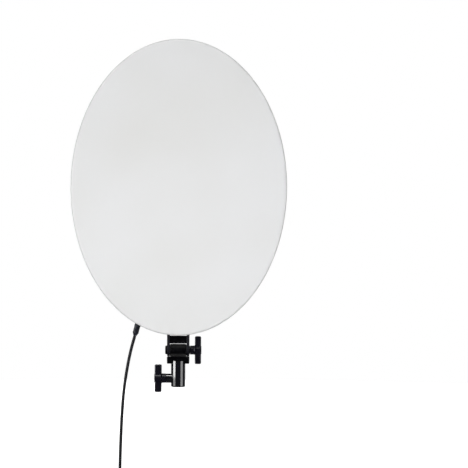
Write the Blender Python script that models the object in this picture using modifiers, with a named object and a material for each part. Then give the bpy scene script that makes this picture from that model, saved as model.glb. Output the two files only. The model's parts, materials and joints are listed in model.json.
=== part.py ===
"""Oval LED soft light panel on a tilting yoke, with its stand adapter and its DC supply cord.

Units are metres, +Z is up and the panel faces -Y. The origin is the centre of the stand
socket's mouth, so the whole object sits on a stand's spigot at the origin.
Run with: blender --background --python part.py
"""
import math

import bmesh
import bpy
from mathutils import Matrix, Vector

# Clearance between touching pieces
GAP = 0.0003

# Overlap of shapes that are joined as one solid, and how far a cutter reaches past a face
BURY = 0.0004
OVERSHOOT = 0.001

# Panel head: oval outline, thickness and shell walls
PANEL_HALF_W = 0.177
PANEL_HALF_H = 0.2424
PANEL_FRONT_Y = -0.019
PANEL_REAR_Y = 0.011
SKIRT_DEPTH = 0.008
COVER_WALL = 0.0024
COVER_EDGE = 0.005
DIFFUSER_WALL = 0.002
DIFFUSER_EDGE = 0.0025
LIP_INSET = 0.00235
LIP_REACH = 0.005
OVAL_SIDES = 64

# Tilt axis, stand socket and clamp axis
TILT_Z = 0.0606
RIM_ABOVE_TILT = 0.0246
CLAMP_Z = 0.0142
PANEL_MID_Z = TILT_Z + RIM_ABOVE_TILT + PANEL_HALF_H
RIM_Z = PANEL_MID_Z - PANEL_HALF_H
COVER_INNER_Y = PANEL_REAR_Y - COVER_WALL

# Rear vents: two ovalled stadiums of upright slots inside a groove
VENT_HALF_W = 0.093
VENT_HALF_H = 0.055
VENT_END = 0.042
VENT_OFFSETS = (0.129, -0.134)
VENT_SLOTS = 17
VENT_PITCH = 0.0102
SLOT_W = 0.0068
SLOT_H = 0.098
SLOT_END_HEIGHTS = (0.050, 0.083, 0.094)
SLOT_SIDES = 8
GROOVE_W = 0.0032
GROOVE_DEPTH = 0.0012

# Long side slots
SIDE_SLOT_X = (0.110, 0.120, 0.130, 0.140)
SIDE_SLOT_W = 0.006
SIDE_SLOT_H = 0.146
SIDE_SLOT_OFFSET = -0.007

# Badge plate on the rear face
BADGE_HALF_W = 0.0935
BADGE_HALF_H = 0.058
BADGE_END = 0.040
BADGE_OFFSET = -0.004
BADGE_THICK = 0.0026
BADGE_EDGE_HIGH = 0.0008
BADGE_SLOPE = 0.0052
BADGE_RIM = 0.0112
BADGE_GROOVE_W = 0.0046
BADGE_GROOVE_DEPTH = 0.0013
BADGE_GROOVE_SIDE = 0.0007
BADGE_FACE_DEPTH = 0.0005
BADGE_PEGS = (0.060, 0.030)
BADGE_PEG_R = 0.002
BADGE_NOTCH = 0.005

# Circuit boards and light sources
BOARD_INSET = 0.009
LED_BOARD_FRONT_Y = -0.0045
LED_BOARD_THICK = 0.0015
LED_BOSSES = ((0.075, 0.190), (0.152, 0.060), (0.152, -0.060), (0.075, -0.195))
LED_BOSS_R = 0.0035
CHIP_PITCH = 0.040
CHIP_SIZE = 0.005
CHIP_THICK = 0.0008
CHIP_CLEAR = 0.009
DRIVER_HALF_W = 0.050
DRIVER_Z = (0.290, 0.360)
DRIVER_Y = (0.0035, 0.0051)
DRIVER_POST = (0.044, 0.006)
DRIVER_POST_R = 0.003
CAN_R = 0.004
CAN_HIGH = 0.005
DRIVER_CANS = ((-0.040, 0.318), (-0.040, 0.332), (0.024, 0.340))
# Block components and lead connectors: centre x and z, half sizes, height off the board
DRIVER_COMPONENTS = (
    (-0.020, 0.338, 0.0070, 0.0070, 0.0046),
    (0.004, 0.338, 0.0070, 0.0070, 0.0046),
    (-0.024, 0.308, 0.0050, 0.0045, 0.0023),
    (-0.010, 0.308, 0.0050, 0.0045, 0.0023),
    (0.004, 0.308, 0.0050, 0.0045, 0.0023),
    (0.026, 0.316, 0.0045, 0.0045, 0.0012),
    (-0.045, 0.307, 0.0040, 0.0035, 0.0045),
    (0.045, 0.342, 0.0040, 0.0035, 0.0045),
)

# Screws: shank radius, head radius and head height, and lengths under the head
M25_SCREW = (0.00125, 0.0022, 0.0016)
M3_SCREW = (0.0015, 0.0028, 0.0018)
M4_SCREW = (0.002, 0.0035, 0.0022)
LED_SCREW_LONG = 0.0113
DRIVER_SCREW_LONG = 0.0046
YOKE_SCREW_LONG = 0.0052
PLATE_SCREW_LONG = 0.0064

# Yoke casting and its backing plate inside the cover
CHEEK_IN = 0.0140
CHEEK_OUT = 0.0182
CHEEK_R = 0.010
CHEEK_TOP_Z = RIM_Z + 0.0227
CHEEK_SLOT_TOP_Z = RIM_Z + 0.023
CHEEK_SLOT_SIDE = 0.00035
WEB_RADII = (0.0106, 0.0235)
WEB_HALF_Y = 0.002
FOOT_OUT = 0.036
FOOT_Z = (0.100, 0.1295)
FOOT_Y = (0.0050, 0.0083)
GUSSET_TOP_Z = 0.1255
PLATE_HALF_W = 0.052
PLATE_Z = (0.1045, 0.1295)
PLATE_Y = (0.0027, 0.0047)
YOKE_SCREW_X = 0.027
YOKE_SCREW_Z = (0.1095, 0.1235)
PLATE_SCREW = (0.045, 0.117)
BOSS_HOLE_END_Y = PANEL_REAR_Y - 0.0016

# Knuckle, socket tube and pivot
BARREL_HALF_W = 0.0126
SHOULDER_HALF_W = 0.0182
SHOULDER_HALF_Y = 0.014
SHOULDER_Z = (0.0385, 0.0503)
SHOULDER_EDGE = 0.0028
LUG_TOP_Z = 0.0432
LUG_HALF_Y = 0.0075
NECK_HALF_Y = 0.0098
NECK_FLARE_Z = (0.0507, 0.0549)
TUBE_R = 0.0118
BORE_R = 0.0082
TUBE_TOP_Z = 0.0465
TUBE_EDGE = 0.0015
BOSS_R = 0.0078
BOSS_OUT = 0.0199
PIVOT_R = 0.003
PIVOT_HOLE_R = PIVOT_R + GAP
PIVOT_HEAD = (0.0072, 0.0029)
PIVOT_HEAD_SIDE = 0.55
PIVOT_HEAD_TOP = 0.8
PIVOT_END_X = 0.033
PIVOT_EDGE = 0.0006
DISC_R = 0.0095
DISC_THICK = 0.0008

# T handles
HANDLE_BAR_HALF = 0.0228
HANDLE_BAR_HALF_Y = 0.0055
HANDLE_EDGE = 0.0016
TILT_STEM_R = 0.0074
TILT_STEM_X = 0.0197
TILT_BAR_X = (0.0273, 0.0375)
TILT_WASHER_X = (0.0185, 0.0194)
INSERT_R = 0.0048
INSERT_X = (0.0200, 0.035)
CLAMP_STEM_R = 0.0078
CLAMP_STEM_X = 0.0202
CLAMP_BAR_X = (0.027, 0.0385)
CLAMP_SCREW_R = 0.004
CLAMP_SCREW_X = (0.0085, 0.0352)
CLAMP_TIP_EDGE = 0.0008
HUB_PROUD = 0.0005

# DC plug: where its axis crosses the rim, and its lean from the vertical
PLUG_X = -0.0666
PLUG_Y = 0.0025
PLUG_Z = 0.1030
PLUG_LEAN = math.radians(14.5)
PLUG_R = 0.0050
PLUG_OUT = 0.0201
PLUG_TAPER = 0.0148
PLUG_TIP_R = 0.0029
PLUG_IN = 0.0040
PLUG_BORE_END = 0.0058
JACK_FRONT = 0.0052
JACK_DEPTH = 0.0180
JACK_HALF_W = 0.0047
JACK_HALF_Y = 0.0048
JACK_BORE_END = 0.0150
JACK_RIB = 0.0015
JACK_RIB_Z = (0.0065, 0.0170)
BARREL_PIN_R = 0.00275
BARREL_PIN_BORE = 0.0014
BARREL_PIN_END = 0.0145
CENTRE_PIN_R = 0.0010
CENTRE_PIN_Z = (0.0060, 0.0066, 0.0165)

# Leads inside the panel: jack to driver board, and driver board to light source board
LEAD_R = 0.0012
LEAD_STEP = 0.010
JACK_LEAD_ROUTE = (
    (-0.0630, 0.0024, 0.1368), (-0.0750, 0.0026, 0.1500), (-0.0925, 0.0028, 0.1645),
    (-0.0990, 0.0028, 0.1850), (-0.0990, 0.0028, 0.2400), (-0.0960, 0.0024, 0.2640),
    (-0.0840, 0.0018, 0.2850), (-0.0680, 0.0012, 0.3030), (-0.0560, 0.0010, 0.3070),
    (-0.0493, 0.0010, 0.3070),
)
LED_LEAD_ROUTE = (
    (0.0493, 0.0010, 0.3420), (0.0560, 0.0010, 0.3420), (0.0650, 0.0006, 0.3450),
    (0.0740, -0.0004, 0.3505), (0.0822, -0.0008, 0.3520),
)
LED_PLUG_X = 0.0865
LED_PLUG_Z = 0.352
LED_PLUG_HALF = 0.004
LED_PLUG_HIGH = 0.0045

# Supply cord, its coil and the power adapter, on a surface below the socket
CORD_D = 0.0050
FLOOR_Z = -0.195
CORD_ROUTE = (
    (-0.0749, 0.0025, 0.0716), (-0.0773, 0.0024, 0.0625), (-0.0816, 0.0022, 0.0427),
    (-0.0850, 0.0020, 0.0230), (-0.0879, 0.0018, 0.0032), (-0.0900, 0.0016, -0.0165),
    (-0.0914, 0.0014, -0.0363), (-0.0927, 0.0012, -0.0600), (-0.0938, 0.0009, -0.0900),
    (-0.0946, 0.0006, -0.1200), (-0.0948, 0.0003, -0.1450), (-0.0937, 0.0001, -0.1660),
    (-0.0878, 0.0000, -0.1828), (-0.0775, 0.0000, -0.1898),
)
CORD_STEP = 2.4 * CORD_D
TIE_THICK = 0.0012
TIE_WIDTH = 0.008
TIE_INNER = 0.0012
TIE_OUTER = 0.0002
COIL_X = -0.020
COIL_Y = -0.0352
COIL_TURNS = 6.5
COIL_MEAN_R = 5.25 * CORD_D
COIL_PITCH = CORD_D + 0.0005
COIL_POINTS = 24
COIL_LOW_Z = FLOOR_Z + TIE_THICK + GAP + CORD_D / 2
COIL_HIGH_Z = COIL_LOW_Z + COIL_PITCH
COIL_IN_R = COIL_MEAN_R - COIL_PITCH * COIL_TURNS / 4
COIL_OUT_R = COIL_MEAN_R + COIL_PITCH * COIL_TURNS / 4
TAIL_ROUTE = (
    (-0.0380, -0.0692), (-0.0470, -0.0660), (-0.0560, -0.0614), (-0.0660, -0.0567),
    (-0.0745, -0.0538),
)
ADAPTER_X = (-0.172, -0.098)
ADAPTER_Y = -0.053
ADAPTER_HALF_Y = 0.023
ADAPTER_H = 0.031
ADAPTER_WALL = 0.002
ADAPTER_EDGE = 0.003
CIRCUIT_GAP = 0.001
CIRCUIT_END_ROOM = 0.008
CIRCUIT_TOP_ROOM = 0.004
PIN_X = -0.144
PIN_PITCH = 0.0127
PIN_HALF_X = 0.00318
PIN_HALF_Y = 0.00075
PIN_LONG = 0.017
PIN_ROOT = 0.0052
PIN_EDGE = 0.0004
RELIEF_LONG = 0.013
RELIEF_R = (0.0043, 0.0031)
RELIEF_ROOT_R = 0.0032
RELIEF_ROOT = 0.0045

# Clear the scene and make the two collections
for leftover in list(bpy.data.objects):
    bpy.data.objects.remove(leftover, do_unlink=True)


def new_collection(name):
    """A collection linked to the scene."""
    made = bpy.data.collections.new(name)
    bpy.context.scene.collection.children.link(made)
    return made


PARTS = new_collection("led_soft_light_panel")
CUTTERS = new_collection("cutters")


def finish_of(name, colour, roughness, metallic=0.0):
    """A Principled material for one sub-part."""
    made = bpy.data.materials.new(name)
    made.use_nodes = True
    made.diffuse_color = (*colour, 1.0)
    shader = made.node_tree.nodes["Principled BSDF"]
    shader.inputs["Base Color"].default_value = (*colour, 1.0)
    shader.inputs["Roughness"].default_value = roughness
    shader.inputs["Metallic"].default_value = metallic
    return made


FINISHES = {
    "cover": ((0.026, 0.028, 0.034), 0.55, 0.0),
    "opal": ((0.86, 0.86, 0.85), 0.45, 0.0),
    "orange": ((0.76, 0.10, 0.015), 0.42, 0.0),
    "black_casting": ((0.012, 0.012, 0.014), 0.42, 0.0),
    "black_gloss": ((0.006, 0.006, 0.009), 0.12, 0.4),
    "handle": ((0.014, 0.014, 0.017), 0.38, 0.0),
    "steel": ((0.55, 0.55, 0.56), 0.30, 1.0),
    "brass": ((0.70, 0.50, 0.20), 0.35, 1.0),
    "board_white": ((0.80, 0.80, 0.78), 0.50, 0.0),
    "board_green": ((0.03, 0.16, 0.07), 0.45, 0.0),
    "component": ((0.03, 0.03, 0.03), 0.50, 0.0),
    "cord": ((0.012, 0.012, 0.013), 0.45, 0.0),
    "adapter": ((0.014, 0.014, 0.015), 0.50, 0.0),
}


def new_object(name, mesh, collection):
    """An object for a mesh or curve, in a collection."""
    made = bpy.data.objects.new(name, mesh)
    collection.objects.link(made)
    return made


def sub_part(name, mesh, finish):
    """A named sub-part with a material of its own, shaded smooth except over sharp edges."""
    made = new_object(name, mesh, PARTS)
    mesh.materials.append(finish_of(name, *FINISHES[finish]))
    if isinstance(mesh, bpy.types.Mesh):
        mesh.shade_smooth()
        mesh.set_sharp_from_angle(angle=math.radians(32))
    return made


def tool(name, mesh):
    """A hidden object that cuts or joins another one."""
    made = new_object(name, mesh, CUTTERS)
    made.hide_render = True
    made.display_type = "WIRE"
    return made


def mesh_from(bm, name):
    """A mesh made from bmesh data."""
    bmesh.ops.recalc_face_normals(bm, faces=bm.faces)
    mesh = bpy.data.meshes.new(name)
    bm.to_mesh(mesh)
    bm.free()
    return mesh


def add_block(bm, low, high):
    """A box between two corners."""
    low = Vector(low)
    high = Vector(high)
    size = Matrix.Diagonal((*(high - low), 1.0))
    bmesh.ops.create_cube(bm, size=1.0, matrix=Matrix.Translation((low + high) / 2) @ size)


def add_rod(bm, radius, start, end, sides):
    """A cylinder from start to end."""
    start = Vector(start)
    along = Vector(end) - start
    turn = along.to_track_quat("Z", "Y").to_matrix().to_4x4()
    bmesh.ops.create_cone(
        bm,
        cap_ends=True,
        segments=sides,
        radius1=radius,
        radius2=radius,
        depth=along.length,
        matrix=Matrix.Translation(start + along / 2) @ turn,
    )


def add_slot(bm, centre_x, centre_z, width, height, y_low, y_high):
    """An upright slot with round ends, through the thickness from y_low to y_high."""
    radius = width / 2
    turn = Matrix.Rotation(math.radians(90), 4, "X")
    half_step = Matrix.Rotation(math.pi / SLOT_SIDES, 4, "Z")
    place = Matrix.Translation((centre_x, (y_low + y_high) / 2, centre_z)) @ turn @ half_step
    made = bmesh.ops.create_cone(
        bm,
        cap_ends=True,
        segments=SLOT_SIDES,
        radius1=radius,
        radius2=radius,
        depth=y_high - y_low,
        matrix=place,
    )
    for vertex in made["verts"]:
        shift = height / 2 - radius
        vertex.co.z += shift if vertex.co.z > centre_z else -shift


def blocks(name, *corners):
    """A mesh of one or more boxes."""
    bm = bmesh.new()
    for low, high in corners:
        add_block(bm, low, high)
    return mesh_from(bm, name)


def rods(name, *ends, sides=24):
    """A mesh of one or more cylinders, each (radius, start, end)."""
    bm = bmesh.new()
    for radius, start, end in ends:
        add_rod(bm, radius, start, end, sides)
    return mesh_from(bm, name)


def boolean(target, other, operation):
    """Cut another object out of the target, or join it on."""
    made = target.modifiers.new(other.name, "BOOLEAN")
    made.operation = operation
    made.solver = "EXACT"
    made.object = other


def cut(target, mesh):
    """Cut a mesh out of a sub-part."""
    boolean(target, tool(mesh.name, mesh), "DIFFERENCE")


def weld_on(target, mesh):
    """Join a mesh to a sub-part as one solid."""
    boolean(target, tool(mesh.name, mesh), "UNION")


def bevel(target, width, segments=2, angle=30.0):
    """Round a part's sharp edges."""
    made = target.modifiers.new("rounded_edges", "BEVEL")
    made.width = width
    made.segments = segments
    made.limit_method = "ANGLE"
    made.angle_limit = math.radians(angle)


def layered(name, outline_of, steps):
    """A mesh skinned over outlines, one for each (inset, y) step, with flat caps."""
    bm = bmesh.new()
    rows = []
    for inset, y in steps:
        rows.append([bm.verts.new((x, y, z)) for x, z in outline_of(inset)])
    for near, far in zip(rows, rows[1:]):
        for i in range(len(near)):
            bm.faces.new((near[i - 1], near[i], far[i], far[i - 1]))
    bm.faces.new(rows[0])
    bm.faces.new(rows[-1])
    return mesh_from(bm, name)


def solidify(target, thickness):
    """Give an open surface its wall, inwards from the surface."""
    made = target.modifiers.new("wall", "SOLIDIFY")
    made.thickness = thickness
    made.offset = -1.0
    made.use_even_offset = True


def turned(name, finish, profile, closed, axis, centre, steps=24):
    """A turned sub-part: radius and height pairs spun about an axis through centre."""
    bm = bmesh.new()
    points = [bm.verts.new((radius, 0.0, height)) for radius, height in profile]
    pairs = list(zip(points, points[1:]))
    if closed:
        pairs.append((points[-1], points[0]))
    for first, second in pairs:
        bm.edges.new((first, second))
    mesh = bpy.data.meshes.new(name)
    bm.to_mesh(mesh)
    bm.free()
    made = sub_part(name, mesh, finish)
    made.location = centre
    made.rotation_euler = Vector(axis).to_track_quat("Z", "Y").to_euler()
    screw = made.modifiers.new("turned", "SCREW")
    screw.steps = steps
    screw.render_steps = steps
    screw.use_merge_vertices = True
    screw.merge_threshold = 0.00005
    screw.use_smooth_shade = True
    return made


def ring_profile(outer, inner, low, high):
    """A washer's or sleeve's section, from its outer top edge down and round."""
    return ((outer, high), (outer, low), (inner, low), (inner, high))


def oval_points(half_w, half_h):
    """Points round the panel's oval."""
    steps = [2 * math.pi * i / OVAL_SIDES for i in range(OVAL_SIDES)]
    return [(half_w * math.cos(a), PANEL_MID_Z + half_h * math.sin(a)) for a in steps]


def stadium_points(half_w, half_h, end, mid_z, arc=10):
    """Points round a stadium whose ends are half ovals."""
    points = []
    for side in (1, -1):
        for i in range(arc + 1):
            angle = math.pi * i / arc - math.pi / 2
            x = side * (half_w - end + end * math.cos(angle))
            points.append((x, mid_z + side * half_h * math.sin(angle)))
    return points


def plate_mesh(name, outline, y_low, y_high):
    """A flat plate with an outline in X and Z, extruded along Y."""
    bm = bmesh.new()
    face = bm.faces.new([bm.verts.new((x, y_low, z)) for x, z in outline])
    moved = bmesh.ops.extrude_face_region(bm, geom=[face])["geom"]
    corners = [item for item in moved if isinstance(item, bmesh.types.BMVert)]
    bmesh.ops.translate(bm, verts=corners, vec=(0.0, y_high - y_low, 0.0))
    return mesh_from(bm, name)


def band_mesh(name, outline, y_low, y_high):
    """An open band along an outline in X and Z, from y_low to y_high."""
    bm = bmesh.new()
    near = [bm.verts.new((x, y_low, z)) for x, z in outline]
    edges = [bm.edges.new((near[i - 1], near[i])) for i in range(len(near))]
    moved = bmesh.ops.extrude_edge_only(bm, edges=edges)["geom"]
    corners = [item for item in moved if isinstance(item, bmesh.types.BMVert)]
    bmesh.ops.translate(bm, verts=corners, vec=(0.0, y_high - y_low, 0.0))
    return mesh_from(bm, name)


def tray(name, finish, closed_y, steps, wall, edge_radius):
    """An oval shell: a closed face with a rounded edge, then its wall through (inset, y) steps."""
    bm = bmesh.new()
    weight = bm.edges.layers.float.new("bevel_weight_edge")
    outline = oval_points(PANEL_HALF_W, PANEL_HALF_H)
    face = bm.faces.new([bm.verts.new((x, closed_y, z)) for x, z in outline])
    rounded = list(face.edges)
    ring = rounded
    half_w = PANEL_HALF_W
    half_h = PANEL_HALF_H
    for inset, y in steps:
        moved = bmesh.ops.extrude_edge_only(bm, edges=ring)["geom"]
        corners = {item for item in moved if isinstance(item, bmesh.types.BMVert)}
        scale_x = (PANEL_HALF_W - inset) / half_w
        scale_z = (PANEL_HALF_H - inset) / half_h
        for vertex in corners:
            z = PANEL_MID_Z + (vertex.co.z - PANEL_MID_Z) * scale_z
            vertex.co = (vertex.co.x * scale_x, y, z)
        edges = [item for item in moved if isinstance(item, bmesh.types.BMEdge)]
        ring = [edge for edge in edges if corners.issuperset(edge.verts)]
        half_w = PANEL_HALF_W - inset
        half_h = PANEL_HALF_H - inset
    for edge in bm.edges:
        edge[weight] = 1.0 if edge in rounded else 0.0
    made = sub_part(name, mesh_from(bm, name), finish)
    bevel(made, edge_radius, 2)
    made.modifiers["rounded_edges"].limit_method = "WEIGHT"
    solidify(made, wall)
    return made


def on_plug_axis(along):
    """A point by its distance out of the rim along the plug's axis."""
    outward = Vector((-math.sin(PLUG_LEAN), 0.0, -math.cos(PLUG_LEAN)))
    return Vector((PLUG_X, PLUG_Y, PLUG_Z)) + along * outward


def plug_frame():
    """The matrix that carries local X, Y and Z to across, depth and into the panel."""
    turn = Matrix.Rotation(PLUG_LEAN, 4, "Y")
    return Matrix.Translation((PLUG_X, PLUG_Y, PLUG_Z)) @ turn


def smooth_route(points, step):
    """Points a step apart on a smooth curve through a route, whose two end runs stay straight."""
    fine = []
    for before, start, end, after in zip(points, points[1:], points[2:], points[3:]):
        for i in range(20):
            t = i / 20
            fine.append(
                0.5 * ((2 * start) + (end - before) * t
                       + (2 * before - 5 * start + 4 * end - after) * t * t
                       + (3 * start - before - 3 * end + after) * t ** 3)
            )
    fine.append(points[-2])
    spacing = length_of(fine) / max(1, round(length_of(fine) / step))
    kept = [fine[0]]
    walked = 0.0
    for a, b in zip(fine, fine[1:]):
        walked += (b - a).length
        if walked >= spacing * (len(kept) - 0.001):
            kept.append(b)
    kept[-1] = fine[-1]
    return [points[0], *kept, points[-1]]


def length_of(points):
    """The length of a line through points."""
    return sum((b - a).length for a, b in zip(points, points[1:]))


def tube_curve(name, line, radius, resolution):
    """Curve data for a round tube with filled caps along a line of points."""
    curve = bpy.data.curves.new(name, "CURVE")
    curve.dimensions = "3D"
    curve.bevel_depth = radius
    curve.bevel_resolution = resolution
    curve.use_fill_caps = True
    spline = curve.splines.new("POLY")
    spline.points.add(len(line) - 1)
    for point, place in zip(spline.points, line):
        point.co = (*place, 1.0)
    return curve


def mirrored(pairs):
    """Each (x, z) pair on both sides of the panel's middle."""
    return [(side * x, z) for x, z in pairs for side in (-1, 1)]


def screws(name, size, long, seat_y, places):
    """Pan head screws, each a part of its own, whose heads face the front and seat at seat_y."""
    shank, head, head_high = size
    profile = (
        (0.0, head_high), (head * 0.75, head_high), (head, 0.0), (shank, 0.0), (shank, -long),
        (0.0, -long),
    )
    for i, (x, z) in enumerate(places):
        turned(f"{name}_{i + 1}", "steel", profile, False, (0, -1, 0), (x, seat_y, z), 8)


def holes_for(size, y_low, y_high, places):
    """Clearance holes for screws, as rods from y_low to y_high."""
    radius = size[0] + GAP
    return [(radius, (x, y_low, z), (x, y_high, z)) for x, z in places]


def make_rear_cover():
    """The rear shell: vents, grooves, cheek slots, plug hole, lip, bosses and jack cradle."""
    parting = PANEL_FRONT_Y + SKIRT_DEPTH
    shoulder = parting + GAP
    steps = ((0.0, shoulder), (LIP_INSET, shoulder), (LIP_INSET, parting - LIP_REACH))
    cover = tray("rear_cover", "cover", PANEL_REAR_Y, steps, COVER_WALL, COVER_EDGE)

    bury = COVER_INNER_Y + BURY
    board_back = LED_BOARD_FRONT_Y + LED_BOARD_THICK + GAP
    plate_places = mirrored([PLATE_SCREW])
    posts = [(LED_BOSS_R, (x, board_back, z), (x, bury, z)) for x, z in led_screw_places()]
    posts += [(LED_BOSS_R, (x, FOOT_Y[0], z), (x, bury, z)) for x, z in plate_places]
    posts += [(DRIVER_POST_R, (x, DRIVER_Y[1] + GAP, z), (x, bury, z))
              for x, z in driver_screw_places()]
    weld_on(cover, rods("cover_bosses", *posts, sides=12))
    weld_on(cover, jack_cradle())

    end = BOSS_HOLE_END_Y
    holes = holes_for(M3_SCREW, board_back - OVERSHOOT, end, led_screw_places())
    holes += holes_for(M3_SCREW, FOOT_Y[0] - OVERSHOOT, end, plate_places)
    holes += holes_for(M25_SCREW, DRIVER_Y[1] - OVERSHOOT, end, driver_screw_places())
    holes += [(BADGE_PEG_R + GAP, (x, 0.0, z), (x, 0.02, z)) for x, z in badge_peg_places()]
    cut(cover, rods("cover_screw_holes", *holes, sides=8))
    cut(cover, vent_slots())
    for i, offset in enumerate(VENT_OFFSETS):
        outline = stadium_points(VENT_HALF_W, VENT_HALF_H, VENT_END, PANEL_MID_Z + offset)
        name = f"vent_groove_{i + 1}"
        groove = tool(name, band_mesh(name, outline, PANEL_REAR_Y - GROOVE_DEPTH, 0.02))
        solidify(groove, GROOVE_W)
        boolean(cover, groove, "DIFFERENCE")
    slot = (CHEEK_IN - CHEEK_SLOT_SIDE, CHEEK_OUT + CHEEK_SLOT_SIDE)
    cut(cover, blocks(
        "cheek_slots",
        ((slot[0], -0.03, RIM_Z - 0.01), (slot[1], 0.02, CHEEK_SLOT_TOP_Z)),
        ((-slot[1], -0.03, RIM_Z - 0.01), (-slot[0], 0.02, CHEEK_SLOT_TOP_Z)),
    ))
    hole_end = on_plug_axis(-PLUG_IN - GAP)
    cut(cover, rods("plug_hole", (PLUG_R + GAP, hole_end, on_plug_axis(0.012))))


def vent_slots():
    """Every slot through the rear face, as one cutter."""
    bm = bmesh.new()
    low = COVER_INNER_Y - 0.004
    high = PANEL_REAR_Y + 0.004
    middle = (VENT_SLOTS - 1) / 2
    for offset in VENT_OFFSETS:
        for i in range(VENT_SLOTS):
            from_end = min(i, VENT_SLOTS - 1 - i)
            tall = SLOT_END_HEIGHTS[from_end] if from_end < len(SLOT_END_HEIGHTS) else SLOT_H
            add_slot(bm, (i - middle) * VENT_PITCH, PANEL_MID_Z + offset, SLOT_W, tall, low, high)
    for side in (-1, 1):
        for x in SIDE_SLOT_X:
            add_slot(bm, side * x, PANEL_MID_Z + SIDE_SLOT_OFFSET, SIDE_SLOT_W, SIDE_SLOT_H,
                     low, high)
    return mesh_from(bm, "rear_slots")


def driver_screw_places():
    """Where the driver board's four screws go."""
    x, inset = DRIVER_POST
    return [(side * x, z) for side in (-1, 1) for z in (DRIVER_Z[0] + inset, DRIVER_Z[1] - inset)]


def jack_cradle():
    """Two ribs of the rear cover that hold the jack between them."""
    bm = bmesh.new()
    near = JACK_HALF_W + GAP
    low_z, high_z = JACK_RIB_Z
    for side in (-1, 1):
        low, high = sorted((side * near, side * (near + JACK_RIB)))
        add_block(bm, (low, -0.001, low_z), (high, COVER_INNER_Y - PLUG_Y + BURY, high_z))
    bm.transform(plug_frame())
    return mesh_from(bm, "jack_cradle")


def make_front_diffuser():
    """The opal front cover with its skirt."""
    steps = ((0.0, PANEL_FRONT_Y + SKIRT_DEPTH),)
    tray("front_diffuser", "opal", PANEL_FRONT_Y, steps, DIFFUSER_WALL, DIFFUSER_EDGE)


def badge_outline(inset):
    """The badge plate's outline, drawn in by an inset."""
    return stadium_points(BADGE_HALF_W - inset, BADGE_HALF_H - inset, BADGE_END - inset,
                          PANEL_MID_Z + BADGE_OFFSET)


def badge_peg_places():
    """Where the badge plate's four pegs go."""
    x, z = BADGE_PEGS
    middle = PANEL_MID_Z + BADGE_OFFSET
    return mirrored([(x, middle - z), (x, middle + z)])


def make_badge_plate():
    """The bare badge plate: sloped edge, ridge, groove and sunk face, on four pegs."""
    low = PANEL_REAR_Y + GAP
    high = low + BADGE_THICK
    floor = high - BADGE_GROOVE_DEPTH
    groove_end = BADGE_RIM + BADGE_GROOVE_W
    side = BADGE_GROOVE_SIDE
    steps = (
        (0.0, low), (0.0, low + BADGE_EDGE_HIGH), (BADGE_SLOPE, high), (BADGE_RIM, high),
        (BADGE_RIM + side, floor), (groove_end - side, floor),
        (groove_end, high - BADGE_FACE_DEPTH),
    )
    plate = sub_part("badge_plate", layered("badge_plate", badge_outline, steps), "orange")
    notch = BADGE_NOTCH / 2
    foot_z = PANEL_MID_Z + BADGE_OFFSET - BADGE_HALF_H
    cut(plate, blocks("badge_notch", ((-notch, low - OVERSHOOT, foot_z - 0.002),
                                      (notch, high + OVERSHOOT, foot_z + notch))))
    peg_end = COVER_INNER_Y - 0.0008
    pegs = [(BADGE_PEG_R, (x, peg_end, z), (x, low + BURY, z)) for x, z in badge_peg_places()]
    weld_on(plate, rods("badge_pegs", *pegs, sides=12))


def make_led_board():
    """The light source board with its chips, notched round the yoke's cheeks."""
    outline = oval_points(PANEL_HALF_W - BOARD_INSET, PANEL_HALF_H - BOARD_INSET)[::2]
    back = LED_BOARD_FRONT_Y + LED_BOARD_THICK
    board = sub_part("led_board", plate_mesh("led_board", outline, LED_BOARD_FRONT_Y, back),
                     "board_white")
    cut(board, blocks("yoke_notch", ((-0.020, -0.01, RIM_Z), (0.020, 0.0, RIM_Z + 0.024))))
    holes = holes_for(M3_SCREW, -0.01, 0.0, led_screw_places())
    cut(board, rods("led_board_holes", *holes, sides=8))
    half = CHIP_SIZE / 2
    chips = [((x - half, LED_BOARD_FRONT_Y - CHIP_THICK, z - half),
              (x + half, LED_BOARD_FRONT_Y + BURY, z + half)) for x, z in chip_places()]
    weld_on(board, blocks("led_chips", *chips))
    weld_on(board, blocks("led_board_connector", (
        (LED_PLUG_X - LED_PLUG_HALF, back - BURY, LED_PLUG_Z - LED_PLUG_HALF),
        (LED_PLUG_X + LED_PLUG_HALF, back + LED_PLUG_HIGH, LED_PLUG_Z + LED_PLUG_HALF))))


def led_screw_places():
    """Where the light source board's eight screws go."""
    return [(x, PANEL_MID_Z + z) for x, z in mirrored(LED_BOSSES)]


def chip_places():
    """A square grid inside the board's outline, clear of the screws and the yoke's notch."""
    places = []
    for row in range(-5, 6):
        for column in range(-4, 5):
            x = column * CHIP_PITCH
            z = PANEL_MID_Z + row * CHIP_PITCH
            across = x / (PANEL_HALF_W - 2 * BOARD_INSET)
            up = (z - PANEL_MID_Z) / (PANEL_HALF_H - 2 * BOARD_INSET)
            clear = min(math.dist((x, z), screw) for screw in led_screw_places())
            near_yoke = abs(x) < 0.026 and z < RIM_Z + 0.032
            if math.hypot(across, up) < 1 and clear > CHIP_CLEAR and not near_yoke:
                places.append((x, z))
    return places


def make_driver_board():
    """The driver board with the components and connectors soldered to its front side."""
    board = sub_part("driver_board", blocks("driver_board", (
        (-DRIVER_HALF_W, DRIVER_Y[0], DRIVER_Z[0]), (DRIVER_HALF_W, DRIVER_Y[1], DRIVER_Z[1]))),
        "board_green")
    holes = holes_for(M25_SCREW, 0.0, 0.01, driver_screw_places())
    cut(board, rods("driver_board_holes", *holes, sides=8))
    face = DRIVER_Y[0]
    components = [
        ((x - half_x, face - tall, z - half_z), (x + half_x, face + BURY, z + half_z))
        for x, z, half_x, half_z, tall in DRIVER_COMPONENTS
    ]
    weld_on(board, blocks("driver_components", *components))
    cans = [(CAN_R, (x, face - CAN_HIGH, z), (x, face + BURY, z)) for x, z in DRIVER_CANS]
    weld_on(board, rods("driver_capacitors", *cans, sides=12))


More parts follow.
